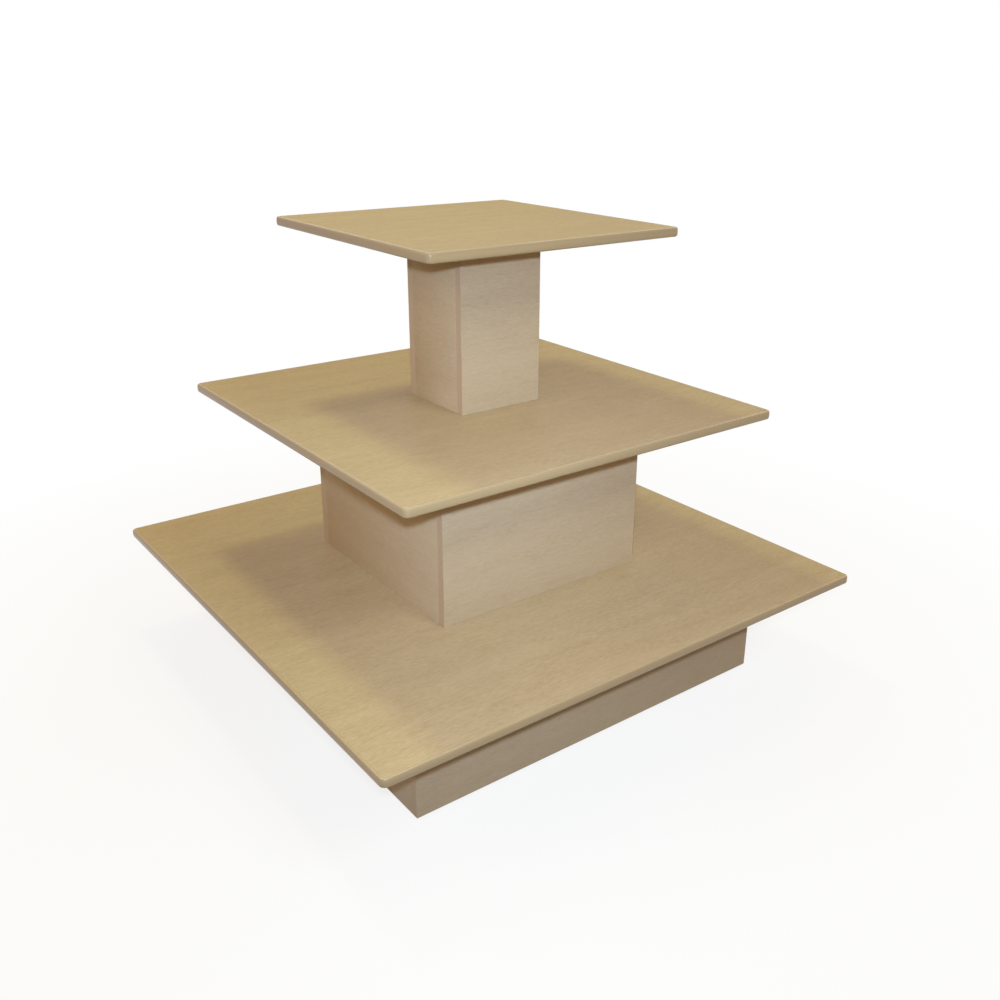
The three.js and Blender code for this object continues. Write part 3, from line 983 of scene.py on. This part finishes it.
def rounded_square(side: float, radius: float, steps: int) -> list[Span]:
    """Draws a square with rounded corners, starting in the middle of its back edge.

    Args:
        side: Its side.
        radius: Radius of its corners.
        steps: Steps in a corner.

    Returns:
        Its points, anticlockwise.
    """
    centre = side / 2 - radius
    points = [(0.0, side / 2)]
    for turn, (sign_x, sign_y) in enumerate(((-1, 1), (-1, -1), (1, -1), (1, 1)), start=1):
        for step in range(steps + 1):
            angle = (turn + step / steps) * math.pi / 2
            points.append((sign_x * centre + radius * math.cos(angle),
                           sign_y * centre + radius * math.sin(angle)))
    return points


def corner_spacing(name: str) -> Vector:
    """Measures how four like nodes are spaced.

    Args:
        name: The nodes' name in the frame, without the corner.

    Returns:
        The way from the middle of the front left one to the middle of the back right one.
    """
    near_low, near_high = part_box(f"{name}_front_left")
    far_low, far_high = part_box(f"{name}_back_right")
    return (far_low + far_high - near_low - near_high) / 2


# Sub-assemblies


@dataclass
class Deck:
    """A laminated board with a plastic band wrapped round its edge.

    Attributes:
        name: The deck's name in the frame.
        riser_above: Name of the riser that stands on it, if one does.
        corner_radius: Radius of the band's corners.
        band_joint: Gap between the band's two ends.
        arris: Radius of the band's outer edges.
        crown: How far the band's face stands out in the middle.
        board_arris: How far the board's edges are eased.
        seam: Gap between the board and the band.
        corner_steps: Steps in a rounded corner.
    """

    name: str
    riser_above: str | None
    corner_radius: float = 0.0125
    band_thickness: float = 0.006
    band_joint: float = 0.0002
    arris: float = 0.0035
    crown: float = 0.0012
    board_arris: float = 0.0002
    seam: float = 0.00005
    corner_steps: int = 14

    def build(self, finishes: FinishBoard, band: bpy.types.NodeTree, holes: bpy.types.NodeTree) -> None:
        """Makes the board and the band.

        Args:
            finishes: The table's finishes.
            band: The tree that draws the band.
            holes: The tree that drills the board for the riser's screws.
        """
        self.build_board(finishes, holes)
        self.build_band(finishes, band)

    def build_board(self, finishes: FinishBoard, holes: bpy.types.NodeTree) -> None:
        """Makes the board, with eased edges and the countersunk holes in its underside.

        Args:
            finishes: The table's finishes.
            holes: The tree that drills the board.
        """
        low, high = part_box(f"{self.name}_board")
        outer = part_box(f"{self.name}_edge_band")[1].x
        reach = outer - self.band_thickness - self.seam
        radius = self.corner_radius - (outer - reach)
        levels = ((low.z, self.board_arris), (low.z + self.board_arris, 0.0),
                  (high.z - self.board_arris, 0.0), (high.z, self.board_arris))
        shape = bmesh.new()
        rings = []
        for height, inset in levels:
            outline = rounded_square(2 * (reach - inset), radius - inset, self.corner_steps)
            rings.append([shape.verts.new((x, y, height)) for x, y in outline])
        join_rings(shape, rings)
        shape.faces.new(rings[0])
        shape.faces.new(rings[-1])
        piece = show(f"{self.name}_laminated_board", settle(shape, self.name), [finishes.deck])
        if self.riser_above:
            spacing = corner_spacing(f"{self.riser_above}_foot_screw")
            grow(piece, holes, {"Spacing X": spacing.x, "Spacing Y": spacing.y, "Height": low.z,
                                "Material": finishes.deck})
        dress(piece, TABLE_BODY, [f"{self.name}_board"])

    def build_band(self, finishes: FinishBoard, band: bpy.types.NodeTree) -> None:
        """Makes the band, whose two ends meet in the middle of the back edge.

        Args:
            finishes: The table's finishes.
            band: The tree that draws the band.
        """
        low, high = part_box(f"{self.name}_edge_band")
        side = high.x - low.x - self.band_thickness
        outline = rounded_square(side, self.corner_radius - self.band_thickness / 2, self.corner_steps)
        (_, back), *rest = outline
        middle = (low.z + high.z) / 2
        start, stop = (-self.band_joint / 2, back), (self.band_joint / 2, back)
        points = [(x, y, middle) for x, y in (start, *rest, stop)]
        path = bpy.data.meshes.new(self.name)
        path.from_pydata(points, list(pairwise(range(len(points)))), [])
        piece = show(f"{self.name}_banding", path, [])
        grow(piece, band, {"Width": self.band_thickness, "Depth": high.z - low.z, "Arris": self.arris,
                           "Crown": self.crown, "Material": finishes.deck_band})
        soften(piece.data)
        dress(piece, TABLE_BODY, [f"{self.name}_edge_band"])


class Zone(Enum):
    """Material slots of a laminated panel."""

    LAMINATE = 0
    BAND = 1
    CORE = 2


@dataclass
class Riser:
    """A hollow square of four laminated panels; the front and back ones have banded ends.

    Attributes:
        name: The riser's name in the frame.
        skin: Thickness of the laminate on each face.
        band: Thickness of the band on an end.
        arris: How far the edges are eased.
        arris_profile: Shape of an eased edge, where 0.5 is round.
        sharp: Angle, in radians, past which an edge is eased.
        merge: Distance within which corners are one.
    """

    name: str
    skin: float = 0.0008
    band: float = 0.0011
    arris: float = 0.0004
    arris_steps: int = 2
    arris_profile: float = 0.5
    sharp: float = 1.0
    merge: float = 1e-6

    def build(self, finishes: FinishBoard) -> None:
        """Makes the four panels.

        Args:
            finishes: The table's finishes.
        """
        panels = (("front", finishes.panel_x, True), ("back", finishes.panel_x, True),
                  ("left", finishes.panel_y, False), ("right", finishes.panel_y, False))
        for facing, laminate, banded in panels:
            node = f"{self.name}_{facing}_panel"
            mesh = self.panel(node, wide=0 if banded else 1, banded=banded)
            materials = [laminate, finishes.end_band, finishes.core]
            piece = show(f"{self.name}_{facing}_laminated_panel", mesh, materials)
            dress(piece, TABLE_BODY, [node])

    def panel(self, node: str, wide: int, banded: bool) -> bpy.types.Mesh:
        """Makes one panel as a closed mesh whose faces show its skins, its core and its banded ends.

        Args:
            node: The panel's name in the frame.
            wide: The axis that its width runs along.
            banded: Whether its two ends are banded.

        Returns:
            The mesh.
        """
        low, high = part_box(node)
        thin = 1 - wide
        cuts: list[list[float]] = [[low[axis], high[axis]] for axis in range(3)]
        cuts[thin][1:1] = [low[thin] + self.skin, high[thin] - self.skin]
        if banded:
            cuts[wide][1:1] = [low[wide] + self.band, high[wide] - self.band]
        shape = self.gridded_box(cuts)
        sharp = [edge for edge in shape.edges if edge.calc_face_angle() > self.sharp]
        bmesh.ops.bevel(shape, geom=sharp, offset=self.arris, segments=self.arris_steps,
                        profile=self.arris_profile, affect="EDGES")
        middle = (low + high) / 2
        half = (high - low) / 2
        for face in shape.faces:
            away = face.calc_center_median() - middle
            if banded and abs(away[wide]) > half[wide] - self.band:
                face.material_index = Zone.BAND.value
            elif abs(away[thin]) < half[thin] - self.skin:
                face.material_index = Zone.CORE.value
        return soften(settle(shape, node))

    def gridded_box(self, cuts: Sequence[Sequence[float]]) -> bmesh.types.BMesh:
        """Makes a closed box whose faces are cut into a grid.

        Args:
            cuts: Where it is cut along x, y and z, from its lowest corner to its highest.

        Returns:
            The box as an edit mesh.
        """
        shape = bmesh.new()
        for axis in range(3):
            first, second = (other for other in range(3) if other != axis)
            for end in (cuts[axis][0], cuts[axis][-1]):
                for (left, right), (bottom, top) in product(pairwise(cuts[first]), pairwise(cuts[second])):
                    corners = []
                    for across, up in ((left, bottom), (right, bottom), (right, top), (left, top)):
                        point = [0.0, 0.0, 0.0]
                        point[axis], point[first], point[second] = end, across, up
                        corners.append(shape.verts.new(point))
                    shape.faces.new(corners)
        bmesh.ops.remove_doubles(shape, verts=shape.verts, dist=self.merge)
        bmesh.ops.recalc_face_normals(shape, faces=shape.faces)
        return shape


@dataclass(frozen=True)
class ScrewShape:
    """What differs between one kind of wood screw and another.

    Attributes:
        shank: Radius of the plain neck, and of the thread's crest.
        neck: Height at which the neck ends.
        head: Points of the head from its face to the neck, each a share of its radius and a height.
    """

    shank: float
    neck: float
    head: tuple[Span, ...]


class ScrewKind(Enum):
    """The kinds of wood screw: a cone flush with the wood, or a pan on its face."""

    COUNTERSUNK = ScrewShape(0.0028, 0.016, ((0.94, 0.0), (1.0, 0.0003), (1.0, 0.0006)))
    PAN = ScrewShape(0.0024, 0.010, ((0.55, 0.0), (0.82, 0.0004), (0.96, 0.0012), (1.0, 0.0021),
                                     (0.98, 0.003)))


@dataclass
class ScrewSet:
    """Four wood screws driven upwards, with a cross recess, a plain neck and a coarse thread.

    Attributes:
        name: The screws' name in the frame, without the corner.
        kind: Which kind they are.
        seed: Seed of the way that each is turned.
        head_height: Height of the head.
        core_share: Radius of the thread's root, as a share of the shank's.
        run_out: Height in which the neck narrows to the root.
        thread_stop: How far the ridge ends below the point.
        point: Length of the point.
        tip: Length of its last part.
        tip_share: Radius there, as a share of the root's.
        recess_span: Length of the recess's arms, as a share of the head's radius.
        recess_width: Their width, likewise.
    """

    name: str
    kind: ScrewKind
    seed: int = 5
    facets: int = 20
    head_height: float = 0.003
    core_share: float = 0.74
    pitch: float = 0.0026
    run_out: float = 0.001
    thread_stop: float = 0.0005
    point: float = 0.005
    tip: float = 0.002
    tip_share: float = 0.6
    recess_span: float = 1.05
    recess_width: float = 0.2
    recess_depth: float = 0.0018

    def build(self, finishes: FinishBoard, tree: bpy.types.NodeTree) -> None:
        """Makes the four screws as one piece.

        Args:
            finishes: The table's finishes.
            tree: The tree that threads and sets them.
        """
        low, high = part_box(f"{self.name}_front_left")
        spacing = corner_spacing(self.name)
        head = (high.x - low.x) / 2
        length = high.z - low.z
        shape = self.kind.value
        core = shape.shank * self.core_share
        start = shape.neck + self.run_out
        stop = length - self.point
        body = [(0.0, 0.0), *((head * share, height) for share, height in shape.head),
                (shape.shank, self.head_height), (shape.shank, shape.neck), (core, start), (core, stop),
                (core * self.tip_share, length - self.tip), (0.0, length)]
        piece = show(f"{self.name}_set", turned(self.name, body, self.facets), [finishes.zinc])
        grow(piece, tree, {
            "Spacing X": spacing.x, "Spacing Y": spacing.y, "Height": low.z, "Thread from": start,
            "Thread length": stop - start - self.thread_stop, "Thread radius": core, "Pitch": self.pitch,
            "Thread depth": shape.shank - core, "Recess span": head * self.recess_span,
            "Recess width": head * self.recess_width, "Recess depth": self.recess_depth, "Seed": self.seed,
            "Material": finishes.zinc})
        dress(piece, TABLE_BODY, [f"{self.name}_{corner}" for corner in CORNERS])


@dataclass
class LevellingFoot:
    """A tee nut in the plinth, a threaded stem with a hexagon, and the pad that the stem turns in.

    A span is a lowest and a highest height. Another pair is a radius, or a step in radius, and a height.

    Attributes:
        corner: Which corner of the plinth it stands in.
        ease: How far small edges are eased.
        clearance: Gap between pieces that touch.
        bore: Radius of the hole that the shank passes through.
        sole_inset: How far the pad's flat sole ends inside its ribs.
        rim_span: The pad's upright rim.
        rim_foot: Step in from the rim below it.
        rim_shoulder: Step in from the rim above it.
        dome_end: Where the dome meets the hub's fillet.
        hub_root: Where the fillet meets the hub.
        hub_ease: Step in at the hub's upper edge.
        mouth_ease: Step out at the mouth of the hub's hole.
        socket_span: The socket that holds the stem's foot.
        thread_gap: How far above the hexagon the thread starts.
        thread_stop: How far below the stem's end it stops.
        tip: Step in at the stem's end.
        nut_mouth: How far the mouth of the tee nut is chamfered.
    """

    corner: str
    facets: int = 48
    ease: float = 0.0004
    clearance: float = 0.00025
    bore: float = 0.00435
    rib_radius: float = 0.0006
    sole_inset: float = 0.0025
    rim_span: Span = (0.0014, 0.0046)
    rim_foot: Span = (0.0006, 0.0005)
    rim_shoulder: Span = (0.0007, 0.0056)
    dome_end: Span = (0.0120, 0.0098)
    hub_root: Span = (0.0098, 0.0112)
    hub_radius: float = 0.0090
    hub_ease: Span = (0.0005, 0.0004)
    mouth_ease: Span = (0.00045, 0.0005)
    socket_radius: float = 0.00585
    socket_span: Span = (0.003, 0.009)
    foot_radius: float = 0.0055
    shank_radius: float = 0.004
    thread_depth: float = 0.0006
    thread_gap: float = 0.0006
    thread_stop: float = 0.0018
    tip: Span = (0.0012, 0.0015)
    hexagon_flats: float = 0.013
    barrel_radius: float = 0.0055
    flange_thickness: float = 0.0015
    nut_mouth: float = 0.0005

    def build(self, finishes: FinishBoard, stem: bpy.types.NodeTree, pad: bpy.types.NodeTree) -> None:
        """Makes the three pieces.

        Args:
            finishes: The table's finishes.
            stem: The tree that threads the stem.
            pad: The tree that sets the pad's ribs.
        """
        low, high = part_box(f"leveller_pad_{self.corner}")
        centre = (low + high) / 2
        place = {"X": centre.x, "Y": centre.y}
        self.build_pad(finishes, pad, place)
        self.build_stem(finishes, stem, place)
        self.build_tee_nut(finishes, centre)

    def build_pad(self, finishes: FinishBoard, tree: bpy.types.NodeTree, place: dict[str, float]) -> None:
        """Makes the pad: a domed disc with a hub and a socket for the stem's foot.

        Args:
            finishes: The table's finishes.
            tree: The tree that sets the ribs.
            place: The foot's X and Y.
        """
        node = f"leveller_pad_{self.corner}"
        low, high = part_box(node)
        radius = (high.x - low.x) / 2
        rim = radius - self.rib_radius
        rim_low, rim_high = self.rim_span
        socket_low, socket_high = self.socket_span
        sole = [(0.0, 0.0), (radius - self.sole_inset, 0.0), (rim - self.rim_foot[0], self.rim_foot[1])]
        side = [(rim, rim_low), (rim, rim_high), (rim - self.rim_shoulder[0], self.rim_shoulder[1])]
        hub = [self.dome_end, self.hub_root, (self.hub_radius, high.z - self.hub_ease[1]),
               (self.hub_radius - self.hub_ease[0], high.z)]
        hole = [(self.bore + self.mouth_ease[0], high.z), (self.bore, high.z - self.mouth_ease[1]),
                (self.bore, socket_high), (self.socket_radius, socket_high),
                (self.socket_radius, socket_low), (0.0, socket_low)]
        name = f"leveller_pad_moulding_{self.corner}"
        piece = show(name, turned(name, sole + side + hub + hole, self.facets), [finishes.nylon])
        grow(piece, tree, {**place, "Rim radius": rim, "Rib radius": self.rib_radius, "Rib from": rim_low,
                           "Rib height": rim_high - rim_low, "Material": finishes.nylon})
        dress(piece, f"pad_{self.corner}", [node])

    def build_stem(self, finishes: FinishBoard, tree: bpy.types.NodeTree, place: dict[str, float]) -> None:
        """Makes the stem: a foot, a chamfered hexagon and a threaded shank.

        Args:
            finishes: The table's finishes.
            tree: The tree that threads the shank.
            place: The foot's X and Y.
        """
        node = f"leveller_stem_{self.corner}"
        low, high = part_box(node)
        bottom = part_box(f"leveller_pad_{self.corner}")[1].z + self.clearance
        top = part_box(f"leveller_tee_nut_{self.corner}")[0].z - self.clearance
        core = self.shank_radius - self.thread_depth
        foot_top = self.socket_span[1] - self.clearance
        inner = self.foot_radius - self.ease
        foot = [(0.0, low.z), (inner, low.z), (self.foot_radius, low.z + self.ease),
                (self.foot_radius, foot_top - self.ease), (inner, foot_top)]
        shank = [(core, foot_top), (core, high.z - self.tip[1]), (core - self.tip[0], high.z), (0.0, high.z)]
        name = f"leveller_stem_threaded_{self.corner}"
        mesh = self.with_hexagon(turned(name, foot + shank, self.facets), bottom, top)
        piece = show(name, mesh, [finishes.zinc])
        start = top + self.thread_gap
        grow(piece, tree, {**place, "Thread from": start, "Thread length": high.z - self.thread_stop - start,
                           "Thread radius": core, "Thread depth": self.thread_depth,
                           "Material": finishes.zinc})
        dress(piece, f"stem_{self.corner}", [node])

    def with_hexagon(self, mesh: bpy.types.Mesh, bottom: float, top: float) -> bpy.types.Mesh:
        """Adds a hexagon with chamfered points to the stem's mesh.

        Args:
            mesh: The turned stem.
            bottom: Height of the hexagon's lower face.
            top: Height of its upper face.

        Returns:
            The same mesh.
        """
        shape = bmesh.new()
        shape.from_mesh(mesh)
        corner = self.hexagon_flats / 2 / math.cos(math.pi / 6)
        flat = self.hexagon_flats / 2 - self.ease / 2
        levels = ((flat, bottom), (corner, bottom + self.ease), (corner, top - self.ease), (flat, top))
        turns = [side * math.pi / 3 for side in range(6)]
        rings = []
        for radius, height in levels:
            rings.append([shape.verts.new((radius * math.sin(turn), radius * math.cos(turn), height))
                          for turn in turns])
        join_rings(shape, rings)
        shape.faces.new(rings[0])
        shape.faces.new(rings[-1])
        bmesh.ops.recalc_face_normals(shape, faces=shape.faces)
        shape.to_mesh(mesh)
        shape.free()
        return soften(mesh)

    def build_tee_nut(self, finishes: FinishBoard, centre: Vector) -> None:
        """Makes the tee nut: a pressed flange rolled into a barrel.

        Args:
            finishes: The table's finishes.
            centre: The foot's middle.
        """
        node = f"leveller_tee_nut_{self.corner}"
        low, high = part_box(node)
        outer = (high.x - low.x) / 2
        plate = low.z + self.flange_thickness
        flange = [(self.bore + self.nut_mouth, low.z), (outer - self.ease, low.z),
                  (outer, low.z + self.ease), (outer, plate - self.ease), (outer - self.ease, plate)]
        barrel = [(self.barrel_radius + self.ease, plate), (self.barrel_radius, plate + self.ease),
                  (self.barrel_radius, high.z - self.ease), (self.barrel_radius - self.ease, high.z)]
        hole = [(self.bore, high.z), (self.bore, low.z + self.nut_mouth)]
        mesh = turned(f"leveller_tee_nut_pressed_{self.corner}", flange + barrel + hole, self.facets)
        mesh.transform(Matrix.Translation((centre.x, centre.y, 0.0)))
        piece = show(mesh.name, mesh, [finishes.zinc])
        dress(piece, TABLE_BODY, [node])


@dataclass
class Framing:
    """The timber inside the risers, with planed edges: blocks, cleats, the rail and the head plate.

    Attributes:
        ease: How far the edges are eased.
        edge_angle: Angle, in degrees, past which an edge is eased.
        weld: Distance within which corners are one.
    """

    ease: float = 0.0012
    ease_steps: int = 3
    edge_angle: float = 60.0
    weld: float = 0.00002

    def dress(self, finishes: FinishBoard) -> None:
        """Eases the edges of the frame's own pieces and gives them their timber.

        Args:
            finishes: The table's finishes.
        """
        for node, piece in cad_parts.items():
            if node.startswith("plinth_corner_block"):
                self.plane(piece, finishes.timber[Lie.ALONG_Z])
            elif node.endswith("deck_cleat") or node == "plinth_centre_rail":
                self.plane(piece, finishes.timber[Lie.ALONG_Y])
            elif node == "column_head_plate":
                self.plane(piece, finishes.timber[Lie.ALONG_X])

    def plane(self, piece: bpy.types.Object, timber: bpy.types.Material) -> None:
        """Welds a piece's facets, eases its edges and sets its material.

        Args:
            piece: The piece.
            timber: Its material.
        """
        weld = piece.modifiers.new("weld", "WELD")
        weld.merge_threshold = self.weld
        bevel = piece.modifiers.new("eased edges", "BEVEL")
        bevel.width = self.ease
        bevel.segments = self.ease_steps
        bevel.limit_method = "ANGLE"
        bevel.angle_limit = math.radians(self.edge_angle)
        for slot in piece.material_slots:
            slot.material = timber
        LOG.info("%s planed", piece.name)


# Studio


@dataclass(frozen=True)
class Lamp:
    """An oval area lamp.

    Attributes:
        name: Its name.
        place: Where it hangs.
        aim: What it points at.
        across: Its width and height.
        power: Its power in watts.
        colour: Its colour.
        spread: How wide its beam opens, in degrees.
        mirrored: Whether glossy surfaces reflect it.
    """

    name: str
    place: Point
    aim: Point
    across: Span
    power: float
    colour: Colour
    spread: float = 180.0
    mirrored: bool = True

    def hang(self) -> None:
        """Adds the lamp to the scene."""
        light = bpy.data.lights.new(self.name, "AREA")
        light.shape = "ELLIPSE"
        light.size, light.size_y = self.across
        light.energy = self.power
        light.color = self.colour
        light.spread = math.radians(self.spread)
        lamp = bpy.data.objects.new(self.name, light)
        lamp.location = self.place
        lamp.rotation_euler = (Vector(self.aim) - Vector(self.place)).to_track_quat("-Z", "Y").to_euler()
        lamp.visible_glossy = self.mirrored
        bpy.context.scene.collection.objects.link(lamp)


@dataclass(frozen=True)
class Floor:
    """A pale floor that fades to white away from the table and can be seen through from below.

    Attributes:
        half: Half of its side.
        drop: How far it lies below the pads.
        fade: Distances from the middle between which it fades.
        whiteness: Share of plain white at those two distances.
        lit: Its colour as a surface that throws light back.
        shown: Its colour as it is seen.
    """

    half: float = 30.0
    drop: float = 0.0006
    fade: Span = (0.7, 1.8)
    whiteness: Span = (0.82, 1.0)
    lit: Colour = (0.24, 0.21, 0.16)
    shown: Colour = (0.85, 0.85, 0.85)
    roughness: float = 0.9

    def lay(self) -> None:
        """Adds the floor to the scene."""
        square = ((-1, -1), (1, -1), (1, 1), (-1, 1))
        corners = [(x * self.half, y * self.half, -self.drop) for x, y in square]
        mesh = bpy.data.meshes.new("floor")
        mesh.from_pydata(corners, [], [(0, 1, 2, 3)])
        show("floor", mesh, [self.material()])

    def material(self) -> bpy.types.Material:
        """Mixes the surface, the white and the way through.

        Returns:
            The floor as a material.
        """
        bench = ShaderBench("pale_floor")
        x, y, _ = bench.place()
        whiteness = bench.remap(bench.distance(x, y), self.fade, self.whiteness)
        shown = background_seen(bench)
        bench.feed(bench.shader.inputs["Base Color"], bench.blend(shown, self.lit, self.shown))
        bench.shader.inputs["Roughness"].default_value = self.roughness
        bench.shader.inputs["Specular IOR Level"].default_value = 0.0
        white = bench.add("ShaderNodeEmission", Color=(*WHITE, 1.0), Strength=1.0).outputs[0]
        above = self.mix(bench, bench.math("MULTIPLY", shown, whiteness), bench.shader.outputs[0], white)
        backfacing = bench.add("ShaderNodeNewGeometry").outputs["Backfacing"]
        camera_ray = bench.add("ShaderNodeLightPath").outputs["Is Camera Ray"]
        clear = bench.add("ShaderNodeBsdfTransparent").outputs[0]
        surface = self.mix(bench, bench.math("MULTIPLY", backfacing, camera_ray), above, clear)
        bench.feed(bench.tree.nodes["Material Output"].inputs["Surface"], surface)
        return bench.material

    def mix(self, bench: ShaderBench, share: Socket, first: Socket, second: Socket) -> Socket:
        """Mixes two shaders.

        Args:
            bench: The material's bench.
            share: How much of the second shows.
            first: The first shader.
            second: The second shader.

        Returns:
            The mixed shader.
        """
        node = bench.add("ShaderNodeMixShader", Fac=share)
        bench.feed(node.inputs[1], first)
        bench.feed(node.inputs[2], second)
        return node.outputs[0]


def background_seen(bench: NodeBench) -> Socket:
    """Tells rays that show the background from rays that only carry its light.

    Args:
        bench: The bench of the background's tree.

    Returns:
        1 for the rays that show it, and 0 for the others.
    """
    path = bench.add("ShaderNodeLightPath")
    shown = bench.math("MAXIMUM", path.outputs["Is Camera Ray"], path.outputs["Is Glossy Ray"])
    return bench.math("MAXIMUM", shown, path.outputs["Is Transmission Ray"])


@dataclass
class Studio:
    """The camera, lamps, world and floor.

    The camera's values were fitted to the edges of the table in the photograph. Angles are in degrees.

    Attributes:
        eye: Where the camera stands.
        heading: Which way it looks, from +Y towards +X.
        tilt: How far it looks up.
        roll: How far it leans over.
        focal_share: Its focal length, as a share of the sensor's width.
        centre_pixel: Where its axis meets the picture.
        picture: Side of the picture in pixels.
        sensor: Width of the sensor in millimetres.
        ambient: The room's light from all round.
    """

    eye: Point = (-1.2496, -1.7987, 1.2944)
    heading: float = 37.927
    tilt: float = -21.693
    roll: float = 0.622
    focal_share: float = 1.0202
    centre_pixel: Span = (527.2, 484.7)
    picture: float = 1000.0
    sensor: float = 36.0
    lamps: tuple[Lamp, ...] = (
        Lamp("key", (-1.25, -1.80, 1.385), (0.009, -0.202, 0.465), (0.12, 0.05), 9.5, (0.63, 0.79, 1.0),
             spread=80.0),
        Lamp("overhead", (-0.19, 1.28, 3.54), (-0.19, 1.28, 0.0), (0.5, 0.7), 27.0, (0.94, 1.0, 0.41)),
        Lamp("front_high", (0.6, -2.8, 3.2), (0.0, 0.0, 0.5), (1.2, 1.2), 37.5, (0.86, 1.0, 0.90)),
        Lamp("front_low", (1.2, -3.2, 0.7), (0.1, -0.4, 0.4), (1.6, 1.0), 5.6, (1.0, 0.50, 0.21)),
        Lamp("left_high", (-3.2, 0.2, 2.6), (0.0, 0.0, 0.5), (1.5, 1.5), 18.0, (1.0, 0.81, 0.70)),
        Lamp("left_far", (-2.3, 1.7, 1.5), (-0.2, 0.1, 0.5), (1.2, 1.2), 8.5, (1.0, 0.60, 0.12)),
        Lamp("right_high", (3.2, -0.3, 2.5), (0.0, 0.0, 0.5), (1.5, 1.5), 12.5, (1.0, 0.55, 0.20)),
        Lamp("right_box", (3.4, 0.2, 0.28), (0.4, 0.0, 0.42), (2.0, 0.5), 70.0, (0.78, 0.88, 1.0),
             mirrored=False),
        Lamp("back_box", (1.3, 3.6, 0.28), (0.1, 0.4, 0.42), (2.2, 0.5), 80.0, (0.78, 0.88, 1.0),
             mirrored=False),
    )
    ambient: Colour = (0.30, 0.20, 0.11)
    floor: Floor = Floor()

    def build(self) -> None:
        """Sets up the whole studio."""
        self.set_camera()
        for lamp in self.lamps:
            lamp.hang()
        self.set_world()
        self.floor.lay()
        bpy.context.scene.view_settings.view_transform = "Standard"

    def set_camera(self) -> None:
        """Adds the camera at the photograph's viewing angle."""
        heading, tilt, roll = (math.radians(angle) for angle in (self.heading, self.tilt, self.roll))
        forward = Vector((math.sin(heading), math.cos(heading), 0.0))
        ahead = forward * math.cos(tilt) + Vector((0.0, 0.0, math.sin(tilt)))
        level = Vector((math.cos(heading), -math.sin(heading), 0.0))
        lifted = level.cross(ahead)
        right = level * math.cos(roll) + lifted * math.sin(roll)
        up = lifted * math.cos(roll) - level * math.sin(roll)
        data = bpy.data.cameras.new("camera")
        data.sensor_width = self.sensor
        data.lens = self.focal_share * self.sensor
        data.shift_x = 0.5 - self.centre_pixel[0] / self.picture
        data.shift_y = self.centre_pixel[1] / self.picture - 0.5
        camera = bpy.data.objects.new("camera", data)
        facing = Matrix((right, up, -ahead)).transposed().to_4x4()
        camera.matrix_world = Matrix.Translation(self.eye) @ facing
        bpy.context.scene.collection.objects.link(camera)
        bpy.context.scene.camera = camera

    def set_world(self) -> None:
        """Makes the world white to look at and dimmer as a light."""
        world = bpy.data.worlds.new("studio")
        world.use_nodes = True
        bpy.context.scene.world = world
        bench = NodeBench(world.node_tree)
        colour = bench.blend(background_seen(bench), self.ambient, WHITE)
        bench.feed(bench.tree.nodes["Background"].inputs["Color"], colour)


def main() -> None:
    """Builds the table round the frame, from the studio and the floor up."""
    logging.basicConfig(level=logging.INFO, format="%(name)s: %(message)s")
    Studio().build()
    finishes = FinishBoard()
    band, holes, screws = band_tree(), countersink_tree(), screw_tree()
    stem, pad = stem_tree(), pad_tree()
    for corner in CORNERS:
        LevellingFoot(corner).build(finishes, stem, pad)
    Framing().dress(finishes)
    for riser in ("plinth", "middle_riser", "column"):
        Riser(riser).build(finishes)
    for deck, above in (("lower_deck", "middle_riser"), ("middle_deck", "column"), ("top_deck", None)):
        Deck(deck, above).build(finishes, band, holes)
        ScrewSet(f"{deck}_screw", ScrewKind.PAN).build(finishes, screws)
        if above:
            ScrewSet(f"{above}_foot_screw", ScrewKind.COUNTERSUNK, seed=11).build(finishes, screws)


if __name__ == "__main__":
    main()
